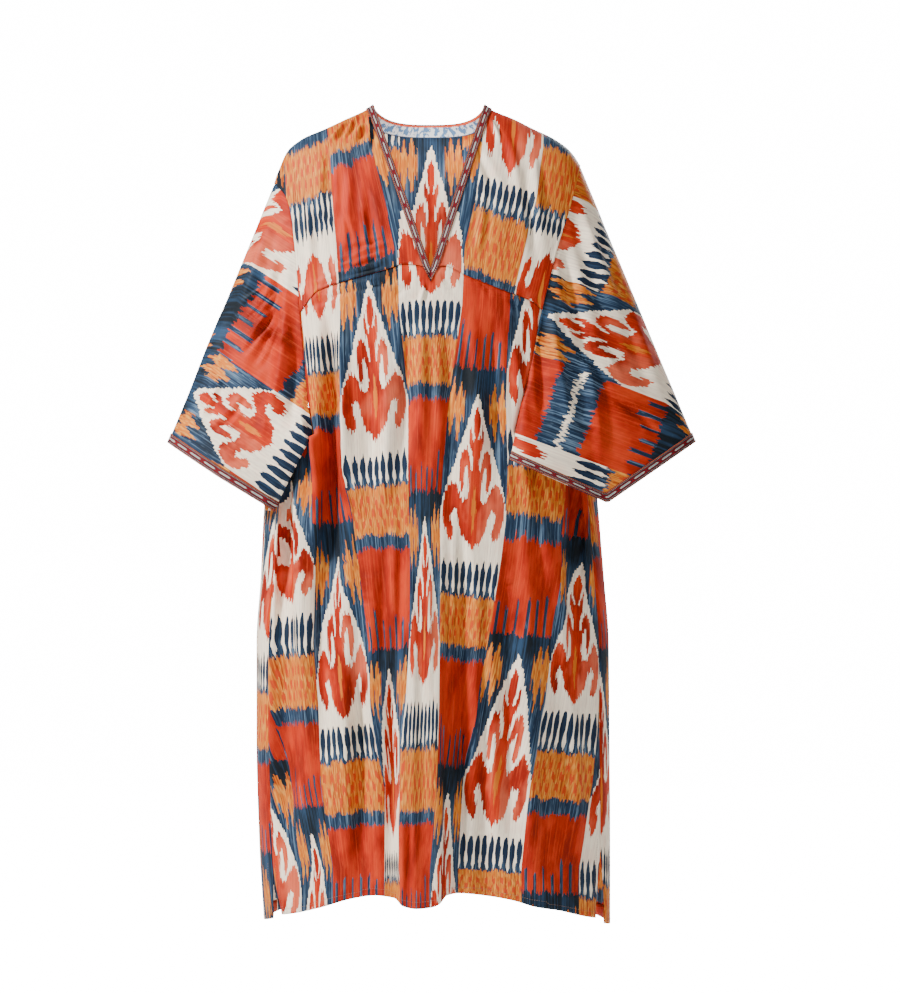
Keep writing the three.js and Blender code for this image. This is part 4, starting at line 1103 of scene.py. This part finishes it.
across = np.sin(np.radians(np.linspace(-90, 90, backLook["neckColumns"] + 1)))
collarSteps = np.linspace(0, garment["bandHeight"], backLook["neckRows"])
collarGrid = np.stack([collarPoints(d, across) for d in collarSteps])
ridgeParts = {}
for side in sides:
    full, ridgeAt = ridges[side]
    x, z = ridgeAt(np.linspace(garment["bandHeight"], full, backLook["ridgeColumns"])[1:])
    ridgeParts[side] = onBody(x, z, "back")
topRow = np.concatenate([ridgeParts["right"][::-1], collarGrid[-1], ridgeParts["left"]])
shareAcross = np.linspace(0, 1, len(topRow))


def backTop(u):
    return np.interp(u, shareAcross, topRow[:, 0]), np.interp(u, shareAcross, topRow[:, 2])


def backFoot(u):
    return lerp(armX["right", "back"](firstZ), armX["left", "back"](firstZ), u), firstZ + 0 * u


def backArm(side):
    def at(t):
        z = lerp(float(armholeEdge[side, "back"]["z"][0]), firstZ, t)
        return armX[side, "back"](z), z
    return at


def withFlanks(row):
    # above the corners the flanks have no width
    count = backLook["sideColumns"]
    return np.concatenate([np.repeat(row[:1], count, 0), row, np.repeat(row[-1:], count, 0)])


backRows = [withFlanks(topRow)]
for t in np.linspace(0, 1, backLook["rows"])[1:] ** backLook["crowding"]:
    x, z = patch(backTop, backFoot, backArm("right"), backArm("left"), shareAcross, t)
    backRows.append(withFlanks(onBody(x, z, "back")))
levels, cornerIndex = withCorner(np.linspace(firstZ, lastZ, backLook["lowRows"])[1:])
backCorner = len(backRows) + cornerIndex
for z in levels:
    backRows.append(backRow(evenLevel(z), shareAcross))
for f in np.linspace(0, 1, backLook["hemRows"])[1:]:
    backRows.append(backRow(lambda x, f=f: lerp(lastZ, backHemZ(x), f), shareAcross))
backGrid = np.stack(backRows)
keep, toArm, toSide = bodyEdges(backGrid, backCorner, backLook["sideColumns"])
toTop = away(backGrid, backGrid[:1])
fade = ease(toArm / bodyLook["armFade"]) * ease(toSide / bodyLook["sideFade"])
fade = fade * ease(toTop / backLook["topFade"])
backShown = bodySheet(backGrid, "back", backCreases, fade, np.minimum(toArm, toSide))
# the pattern runs round by the cloth's own length, from the middle out
steps = np.linalg.norm(np.diff(backGrid[..., :2], axis=1), axis=2)
run = np.concatenate([np.zeros((len(backGrid), 1)), np.cumsum(steps, axis=1)], 1)
middle = slice(backGrid.shape[1] // 2, backGrid.shape[1] // 2 + 1)
run = run - run[:, middle] + backGrid[:, middle, 0]
extra = patternAt(run.reshape(-1), backGrid[..., 2].reshape(-1), backCloth)
points, faces, places = withHem(backShown, extra, keep)
collar = collarGrid.reshape(-1, 3)
faces = np.concatenate([faces, gridFaces(*collarGrid.shape[:2]) + len(points)])
places = np.concatenate([places, patternAt(collar[:, 0], collar[:, 2], backCloth)])
points = np.concatenate([points, collar])
shown["back"] = clothShell("backPanel", *joined(points, faces, places), garment["thick"], fromBody, clothOutsideAndPaintedInside)
print("back made")

sleeveLook = {
    "rings": 120, "ringCrowding": 1.15, "cuffRings": 9, "mouthBow": 0.55, "grownBy": 0.15, "lowHeight": 45,
    "frontRoom": (12.0, 19.0), "backRoom": (12.0, 6.0), "innerShare": {"front": 0.1, "back": 0.06},
    "armFade": 16, "mouthFlat": 8, "mouthFade": 26,
    # creases are faint along the shoulder line and low down beside the body
    "ridgeLeast": 0.2, "ridgeFlat": 12, "ridgeFade": 40,
    "lowFrom": 430, "lowFade": 60, "lowLoss": 0.85, "lowReach": 235,
}
sleeveCreases = {
    "right": {
        "front": [
            (-232, -160, -292, -330, 9.0, 2.2, 6), (-214, -200, -262, -420, 8.0, -2.4, 8),
            (-206, -280, -246, -500, 8.0, 2.0, 9), (-250, -150, -330, -330, 9.0, -1.8, -6),
            (-300, -270, -352, -420, 9.0, 1.8, 5), (-190, -330, -214, -520, 7.0, -2.2, 6),
            (-226, -290, -276, -372, 3.0, -1.5, 5), (-212, -300, -258, -392, 3.2, 1.4, 5),
            (-262, -420, -318, -480, 4.0, -1.4, 5), (-300, -390, -340, -470, 4.0, 1.3, 4),
            (-216, -276, -262, -336, 2.4, 1.1, 4), (-222, -262, -270, -318, 2.2, -1.0, 4),
            (-204, -300, -252, -352, 2.4, -1.1, 3), (-198, -322, -238, -368, 2.2, 1.0, 3),
            (-230, -250, -280, -296, 2.2, 0.9, 3),
        ],
        "back": [
            (-240, -170, -300, -360, 9.0, -2.0, 6), (-214, -240, -262, -470, 9.0, 2.2, -6),
            (-280, -240, -340, -420, 9.0, 1.8, 5), (-200, -330, -236, -520, 7.0, -2.0, 4),
        ],
    },
    "left": {
        "front": [
            (214, -140, 286, -330, 9.0, 2.2, -6), (190, -200, 246, -430, 9.0, -2.4, -8),
            (172, -270, 210, -500, 8.0, 2.2, -8), (150, -330, 158, -510, 7.0, -2.0, 5),
            (240, -150, 330, -340, 9.0, -1.8, 6), (290, -290, 350, -440, 9.0, 1.8, -5),
            (196, -350, 262, -420, 3.2, -1.4, 5), (206, -330, 280, -400, 3.2, 1.3, 5),
            (150, -470, 200, -520, 4.0, -1.2, 3), (260, -430, 330, -480, 4.0, -1.4, 5),
            (216, -330, 244, -540, 8.0, 1.6, 4), (130, -400, 132, -500, 5.0, 1.4, 3),
        ],
        "back": [
            (236, -170, 300, -360, 9.0, -2.0, -6), (210, -240, 262, -470, 9.0, 2.2, 6),
            (280, -240, 344, -420, 9.0, 1.8, -5), (196, -330, 236, -500, 7.0, -2.0, -4),
        ],
    },
}


def along(path, share, swell):
    path = np.array(path, float)
    at = lengthsAlong(path)
    made = np.stack([np.interp(share * at[-1], at, path[:, k]) for k in range(3)], -1)
    made[:, 1] += (4 * share * (1 - share)) ** sleeveLook["mouthBow"] * swell
    return made


def shareOf(points):
    at = lengthsAlong(points)
    return at / at[-1]


def clearOf(p, clearance, forward):
    z = np.minimum(p[:, 2], garment["cornerZ"])
    r, l = sideX["right"](z), sideX["left"](z)
    middle = (r + l) / 2
    deep = np.where(p[:, 1] < 0, bodyDepth["front"](z), bodyDepth["back"](z)) + clearance
    a = np.abs(p[:, 0] - middle) / ((l - r) / 2 + clearance)
    b = np.abs(p[:, 1]) / deep
    power = garment["roundness"]
    q = (a ** power + b ** power) ** (1 / power)
    apart = -p[:, 1] - deep * np.maximum(0, 1 - a ** power) ** (1 / power)
    pushed = np.stack([p[:, 0], p[:, 1] - (np.hypot(apart, clearance) - apart) / 2, p[:, 2]], -1)
    grown = np.where(q < 1, q, 1.0)
    widened = np.stack([middle + (p[:, 0] - middle) / grown, p[:, 1] / grown, p[:, 2]], -1)
    made = np.where(forward[:, None], pushed, widened)
    return np.where((clearance > 0)[:, None], made, p)


def sleeveGrid(side):
    # rings from the armhole to the mouth, and the number of the front's last column
    look, mouth = sleeveLook, sleeveMouth[side]
    f, b = skirtLook["sideColumns"], backLook["sideColumns"]
    frontSide, backSide = skirtGrid[cornerRow], backGrid[backCorner]
    if side == "right":
        frontColumn, backColumn = f, b
        under = np.concatenate([frontSide[:f][::-1], backSide[1:b]])
    else:
        frontColumn, backColumn = skirtGrid.shape[1] - f - 1, -b - 1
        under = np.concatenate([frontSide[frontColumn + 1:], backSide[-b:-1][::-1]])
    down = skirtGrid[1:cornerRow + 1, frontColumn]
    front = np.concatenate([yokeEdges[side][:, -1], down])[::2]
    front[-1] = down[-1]
    under = under[::2]
    up = backGrid[1:backCorner + 1, backColumn][::-1][::2]
    start = np.concatenate([front, under, up])
    frontShares = shareOf(front)
    underShares = shareOf(np.concatenate([front[-1:], under, up[:1]]))
    upShares = shareOf(np.concatenate([up, front[:1]]))
    rest = np.concatenate([underShares * mouth["underShare"], lerp(mouth["underShare"], 1, upShares[1:])])
    ends = np.concatenate([along(mouth["front"], frontShares, -mouth["swell"]),
                           along(mouth["back"], rest[1:-1], mouth["backSwell"])])
    # how far the sleeve stands off the body, from its inner corner outward
    index = np.arange(len(start))
    nf, nu = len(front) - 1, len(front) + len(under)
    isFront, isUnder = index <= nf, (index >= nf) & (index <= nu)
    fromInner = np.concatenate([frontShares, np.zeros(len(start) - nf - 1)])
    toInner = np.where(isFront, (1 - fromInner) / look["innerShare"]["front"],
                       np.concatenate([np.zeros(nf), rest[:-1]]) / look["innerShare"]["back"])
    frontRoom, backRoom = (lerp(*look[room], ease(toInner)) for room in ("frontRoom", "backRoom"))
    clearance = np.where(isFront, frontRoom, backRoom)
    turned = (index == nf) | (index == nu)
    cuff = 1 - garment["cuffRibbon"] / np.linalg.norm(ends - start, axis=1)
    rings = []
    ringShares = np.linspace(0, 1, look["rings"]) ** look["ringCrowding"]
    for share in np.concatenate([ringShares, 1 + np.linspace(0, 1, look["cuffRings"])[1:]]):
        s = cuff * min(share, 1) + (1 - cuff) * max(share - 1, 0)
        p = lerp(start, ends, s[:, None])
        if share == 0:
            p[isUnder, 2] += 1
        grown = np.clip(s / look["grownBy"], 0, 1)
        low = ease((garment["cornerZ"] + look["lowHeight"] - p[:, 2]) / look["lowHeight"])
        low = np.where(isUnder, 1, low)
        free = isUnder & ~(turned & (share == 0))
        room = np.where(free, lerp(1.0, clearance, grown), clearance * grown * low)
        rings.append(clearOf(p, room, isFront))
    return np.stack(rings), nf


def unrolled(rings, nf):
    # the front lies as it is seen; past the shoulder line the cloth goes on by its own length
    flat = rings[..., [0, 2]].copy()
    last = nf // 6
    order = np.concatenate([np.arange(last, -1, -1), np.arange(rings.shape[1] - 1, nf, -1)])
    path = rings[:, order]
    steps = np.linalg.norm(np.diff(path, axis=1), axis=2)
    gone = np.concatenate([np.zeros((len(rings), 1)), np.cumsum(steps, axis=1)], 1)
    way = flat[:, 0] - flat[:, nf // 2]
    way = way / np.linalg.norm(way, axis=1, keepdims=True)
    flat[:, order] = flat[:, last:last + 1] + way[:, None] * gone[..., None]
    return flat[..., 0].reshape(-1), flat[..., 1].reshape(-1)


cuffGrids = {}
for side in sides:
    rings, nf = sleeveGrid(side)
    points = rings.reshape(-1, 3)
    faces = gridFaces(*rings.shape[:2], wrap=True)
    normals = pointNormals(points, faces)
    # outward from the sleeve's own middle line
    centre = rings.mean(axis=1, keepdims=True)
    if np.sum(normals.reshape(rings.shape) * (rings - centre)) < 0:
        normals, faces = -normals, faces[:, ::-1]
    toArm, toMouth, toRidge = (away(rings, edge).reshape(-1)
                               for edge in (rings[:1], rings[-1:], rings[:, :1]))
    look = sleeveLook
    fade = ease(toArm / look["armFade"]) * ease((toMouth - look["mouthFlat"]) / look["mouthFade"])
    risen = ease((toRidge - look["ridgeFlat"]) / look["ridgeFade"])
    fade = fade * (look["ridgeLeast"] + (1 - look["ridgeLeast"]) * risen)
    lowered = ease((-points[:, 2] - look["lowFrom"]) / look["lowFade"])
    lowered = look["lowLoss"] * lowered * (np.abs(points[:, 0]) < look["lowReach"])
    fade = fade * (1 - lowered)
    moved = creased(points, normals, sleeveCreases[side], fade)
    moved = seamed(moved, normals, toArm)
    cloth = sleeveCloth[side]
    turn = math.radians(cloth["turn"])
    flatX, flatZ = unrolled(rings, nf)
    runAlong = flatX * math.cos(turn) - flatZ * math.sin(turn)
    runAcross = -flatX * math.sin(turn) - flatZ * math.cos(turn)
    extra = patternAt(runAcross, -runAlong, cloth)
    axis = np.repeat(centre, rings.shape[1], 1).reshape(-1, 3)
    shown["sleeve" + side] = clothShell("sleeve" + side.capitalize(), moved, faces, extra, garment["thick"],
                                        lambda p, axis=axis: p - axis, clothOutsideAndPaintedInside)
    cuffGrids[side] = [a.reshape(rings.shape)[-sleeveLook["cuffRings"]:] for a in (moved, normals)]
print("sleeves made")

trimLook = {
    "lift": 0.35, "height": 1.15, "edge": 0.35, "edgeAt": 0.38, "edgeWide": 0.09,
    "steps": 9, "stations": 130, "crowding": 1.7, "nape": 40, "tip": 0.15,
}


def ribbonShell(name, grid, normals, run, over, wrap, outward):
    # run and over are the places along and across the ribbon
    run, over = np.broadcast_arrays(run, over)
    crown = trimLook["edge"] * (np.abs(np.abs(over - 0.5) - trimLook["edgeAt"]) < trimLook["edgeWide"])
    outer = grid + normals * (trimLook["lift"] + trimLook["height"] + crown[..., None])
    extra = np.stack([run, over, 0 * run], -1).reshape(-1, 3)
    faces = gridFaces(*grid.shape[:2], wrap=wrap)
    return clothShell(name, outer.reshape(-1, 3), faces, extra, trimLook["height"], outward, [ribbon])


for side in sides:
    grid, normals = cuffGrids[side]
    middle = grid.reshape(-1, 3).mean(axis=0)
    run, over = lengthsAlong(grid[-1])[None, :], np.linspace(1, 0, len(grid))[:, None]
    shown["cuff" + side] = ribbonShell("cuffRibbon" + side.capitalize(), grid, normals, run, over, True,
                                       lambda p, m=middle: p - m)

neckSteps = np.linspace(0, garment["neckRibbon"], trimLook["steps"])
for side in sides:
    sign = -1 if side == "right" else 1
    foot = lerp(garment["vPoint"], garment["vTip"], neckSteps / garment["neckRibbon"])
    tip = onBody(sign * trimLook["tip"], foot, "front")
    t = np.linspace(1, 0, trimLook["stations"]) ** trimLook["crowding"]
    body = yokePoints(side, *np.meshgrid(neckSteps / ridges[side][0], t))
    rounds = np.sin(np.radians(np.linspace(sign * 90, 0, trimLook["nape"])[1:]))
    nape = np.stack([collarPoints(d, rounds) for d in neckSteps], 1)
    grid = np.concatenate([tip[None], body, nape])
    normals = pointNormals(grid.reshape(-1, 3), gridFaces(*grid.shape[:2])).reshape(grid.shape)
    if np.sum(normals[:100, :, 1]) > 0:
        normals = -normals
    run = lengthsAlong(grid[:, len(neckSteps) // 2])[:, None]
    over = (neckSteps / garment["neckRibbon"])[None, :]
    name = "neckRibbon" + side.capitalize()
    shown["neck" + side] = ribbonShell(name, grid, normals, run, over, False, fromBody)

facingLook = {"rows": 12, "columns": 91, "lift": 1.0, "thick": 1.6}
rounds = np.sin(np.radians(np.linspace(-90, 90, facingLook["columns"])))
grid = np.stack([collarPoints(d, rounds) for d in np.linspace(0, garment["bandHeight"], facingLook["rows"])])
faces = gridFaces(*grid.shape[:2])
normals = pointNormals(grid.reshape(-1, 3), faces).reshape(grid.shape)
if np.sum(normals[..., 1]) < 0:
    normals = -normals
run, over = np.meshgrid(lengthsAlong(grid[0]), np.linspace(0, 1, len(grid)))
extra = np.stack([run, over, 0 * run], -1).reshape(-1, 3)
points = (grid - normals * facingLook["lift"]).reshape(-1, 3)
shown["band"] = clothShell("neckFacing", points, faces, extra, facingLook["thick"], fromBody, [band])
print("ribbons made")

threadLook = {"pitch": 3.6, "long": 2.1, "radius": 0.2, "lift": 0.3, "fromHem": 8.5, "fromEdge": 2}
thread, threadTree, threadSurface = newMaterial("sewingThread")
threadStart = Wire(threadTree, None)
objectPlace = threadStart.node("ShaderNodeTexCoord", {}, {}, 3)
twist = threadStart.node("ShaderNodeTexNoise", {}, {"Vector": objectPlace, "Scale": 900.0, "Detail": 2.0})
threadColour = twist.tint(sRgb(112, 84, 70), sRgb(176, 142, 118))
threadTree.links.new(threadColour.socket, threadSurface.inputs["Base Color"])
threadSurface.inputs["Roughness"].default_value = 0.7


def stitchTree():
    # one stitch at each step along the paths
    tree = bpy.data.node_groups.new("stitchRow", "GeometryNodeTree")
    named = {}
    tree.interface.new_socket("Geometry", in_out="INPUT", socket_type="NodeSocketGeometry")
    for name in ("Pitch", "Length", "Radius"):
        socket = tree.interface.new_socket(name, in_out="INPUT", socket_type="NodeSocketFloat")
        named[name] = socket.identifier
    tree.interface.new_socket("Geometry", in_out="OUTPUT", socket_type="NodeSocketGeometry")
    given, result, spaced, placed, stitch, tangent, turned, real, dyed = (tree.nodes.new(kind) for kind in (
        "NodeGroupInput", "NodeGroupOutput", "GeometryNodeResampleCurve", "GeometryNodeInstanceOnPoints",
        "GeometryNodeMeshCylinder", "GeometryNodeInputTangent", "FunctionNodeAlignRotationToVector",
        "GeometryNodeRealizeInstances", "GeometryNodeSetMaterial"))
    spaced.mode = "LENGTH"
    turned.axis = "Z"
    stitch.inputs["Vertices"].default_value = 6
    dyed.inputs["Material"].default_value = thread
    link = tree.links.new
    link(given.outputs["Geometry"], spaced.inputs["Curve"])
    link(given.outputs["Pitch"], spaced.inputs["Length"])
    link(given.outputs["Length"], stitch.inputs["Depth"])
    link(given.outputs["Radius"], stitch.inputs["Radius"])
    link(tangent.outputs[0], turned.inputs["Vector"])
    link(turned.outputs[0], placed.inputs["Rotation"])
    link(spaced.outputs[0], placed.inputs["Points"])
    link(stitch.outputs["Mesh"], placed.inputs["Instance"])
    link(placed.outputs[0], real.inputs[0])
    link(real.outputs[0], dyed.inputs["Geometry"])
    link(dyed.outputs[0], result.inputs["Geometry"])
    return tree, named


stitchGroup, stitchInputs = stitchTree()


def sewn(name, paths):
    curve = bpy.data.curves.new(name + "Path", "CURVE")
    curve.dimensions = "3D"
    for path in paths:
        spline = curve.splines.new("POLY")
        spline.points.add(len(path) - 1)
        for point, place in zip(spline.points, path):
            point.co = (*(place * 0.001), 1)
    holder = bpy.data.objects.new(name + "Path", curve)
    bpy.context.collection.objects.link(holder)
    modifier = holder.modifiers.new("stitches", "NODES")
    modifier.node_group = stitchGroup
    for key, size in (("Pitch", "pitch"), ("Length", "long"), ("Radius", "radius")):
        modifier[stitchInputs[key]] = threadLook[size] * 0.001
    mesh = bpy.data.meshes.new_from_object(holder.evaluated_get(bpy.context.evaluated_depsgraph_get()))
    mesh.name = name
    bpy.data.objects.remove(holder)
    obj = bpy.data.objects.new(name, mesh)
    bpy.context.collection.objects.link(obj)
    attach(obj, "root")
    return obj


for face, grid, corner in (("front", frontShown, cornerRow), ("back", backShown, backCorner)):
    lift = pointNormals(grid.reshape(-1, 3), gridFaces(*grid.shape[:2])).reshape(grid.shape)
    if np.sum(lift[..., 1]) * (1 if face == "back" else -1) < 0:
        lift = -lift
    lift = lift * threadLook["lift"]
    above = grid[..., 2] - grid[-1:, :, 2]
    row = np.argmin(np.abs(above - threadLook["fromHem"]), axis=0)
    across = np.arange(1, grid.shape[1] - 1)
    paths = [grid[row[across], across] + lift[row[across], across]]
    near = threadLook["fromEdge"]
    for side, edge in (("right", near), ("left", grid.shape[1] - 1 - near)):
        rows = [k for k in range(corner, grid.shape[0]) if grid[k, edge, 2] < garment["slitTop"][side]]
        paths.append(grid[rows, edge] + lift[rows, edge])
    sewn(face + "Stitches", paths)
print("stitches made")

# what each piece stands for, and its cut: width, length and area in metres
clothFacts = {
    "yokeright": ("front_yoke_right", "ikat", (0.2, 0.3), 0.0485),
    "yokeleft": ("front_yoke_left", "ikat", (0.2, 0.3), 0.046),
    "skirt": ("front_skirt", "ikat", (0.58, 0.93), 0.49),
    "back": ("back", "ikat", (0.66, 1.17), 0.71),
    "sleeveright": ("sleeve_right", "ikat", (0.61, 0.34), 0.148),
    "sleeveleft": ("sleeve_left", "ikat", (0.67, 0.34), 0.164),
    "cuffright": ("cuff_trim_right", "ribbon", (0.0145, 0.476), None),
    "cuffleft": ("cuff_trim_left", "ribbon", (0.0145, 0.68), None),
    "neckright": ("neck_trim_right", "ribbon", (0.0125, 0.408), None),
    "neckleft": ("neck_trim_left", "ribbon", (0.0125, 0.408), None),
    "band": ("back_neck_band", "neck_band", (0.022, 0.215), None),
}
for key, (node, slotName, flat, area) in clothFacts.items():
    obj = shown[key]
    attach(obj, "root")
    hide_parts(node)
    print(key, "area", round(clothAreas[obj.name], 4), "of", area or round(flat[0] * flat[1], 4))

studio = {"floor": -1.62, "reach": 9, "grey": 0.93, "seenGrey": 0.02, "sky": 0.24, "glow": 16.0}
# place, aim, size and power
lamps = {
    "keyLight": ((-2.6, -1.6, 1.6), (0, 0, -0.45), 0.5, 270),
    "fillLight": ((2.6, -3.6, 0.3), (0, 0, -0.6), 2.4, 14),
    "backLight": ((1.9, 3.1, 1.3), (0, 0, -0.5), 0.9, 130),
    "insideLight": ((0, -0.03, -0.1), (0, 0.1, -0.12), 0.12, 0.26),
    "neckLight": ((0.15, -1.5, 0.9), (0, 0.04, -0.12), 0.5, 8),
}


def grey(value):
    return (value, value, value, 1)


wallMaterial, wallTree, wallSurface = newMaterial("paleStudio")
wallSurface.inputs["Base Color"].default_value = grey(studio["grey"])
wallSurface.inputs["Roughness"].default_value = 0.9
seen = Wire(wallTree, None).node("ShaderNodeLightPath", {}, {})
glow = seen.tint(grey(studio["seenGrey"]), grey(1))
wallTree.links.new(glow.socket, wallSurface.inputs["Emission Color"])
wallSurface.inputs["Emission Strength"].default_value = studio["glow"]
reach = studio["reach"]
corners = [(x * reach, y * reach, studio["floor"]) for x, y in ((-1, -1), (1, -1), (1, 1), (-1, 1))]
stageMesh = bpy.data.meshes.new("studioFloor")
stageMesh.from_pydata(corners, [], [(0, 1, 2, 3)])
stageMesh.materials.append(wallMaterial)
studioFloor = bpy.data.objects.new("studioFloor", stageMesh)
bpy.context.collection.objects.link(studioFloor)

for name, (place, aim, size, power) in lamps.items():
    lamp = bpy.data.lights.new(name, "AREA")
    lamp.shape, lamp.size, lamp.energy = "DISK", size, power
    holder = bpy.data.objects.new(name, lamp)
    bpy.context.collection.objects.link(holder)
    holder.location = place
    holder.rotation_euler = (Vector(aim) - Vector(place)).to_track_quat("-Z", "Y").to_euler()
    holder.visible_camera = False

world = bpy.data.worlds.new("studioSky")
world.use_nodes = True
ray = Wire(world.node_tree, None).node("ShaderNodeLightPath", {}, {})
sky = world.node_tree.nodes["Background"]
skyColour = ray.tint(grey(studio["sky"]), grey(studio["glow"]))
world.node_tree.links.new(skyColour.socket, sky.inputs["Color"])
sky.inputs["Strength"].default_value = 1.0
bpy.context.scene.world = world

cameraData = bpy.data.cameras.new("camera")
cameraData.sensor_fit = "VERTICAL"
cameraData.sensor_height = 36
cameraData.lens = 150
camera = bpy.data.objects.new("camera", cameraData)
bpy.context.collection.objects.link(camera)
camera.location = (0.0276, -6.0, -0.5677)
camera.rotation_euler = (math.pi / 2, 0, 0)
bpy.context.scene.camera = camera
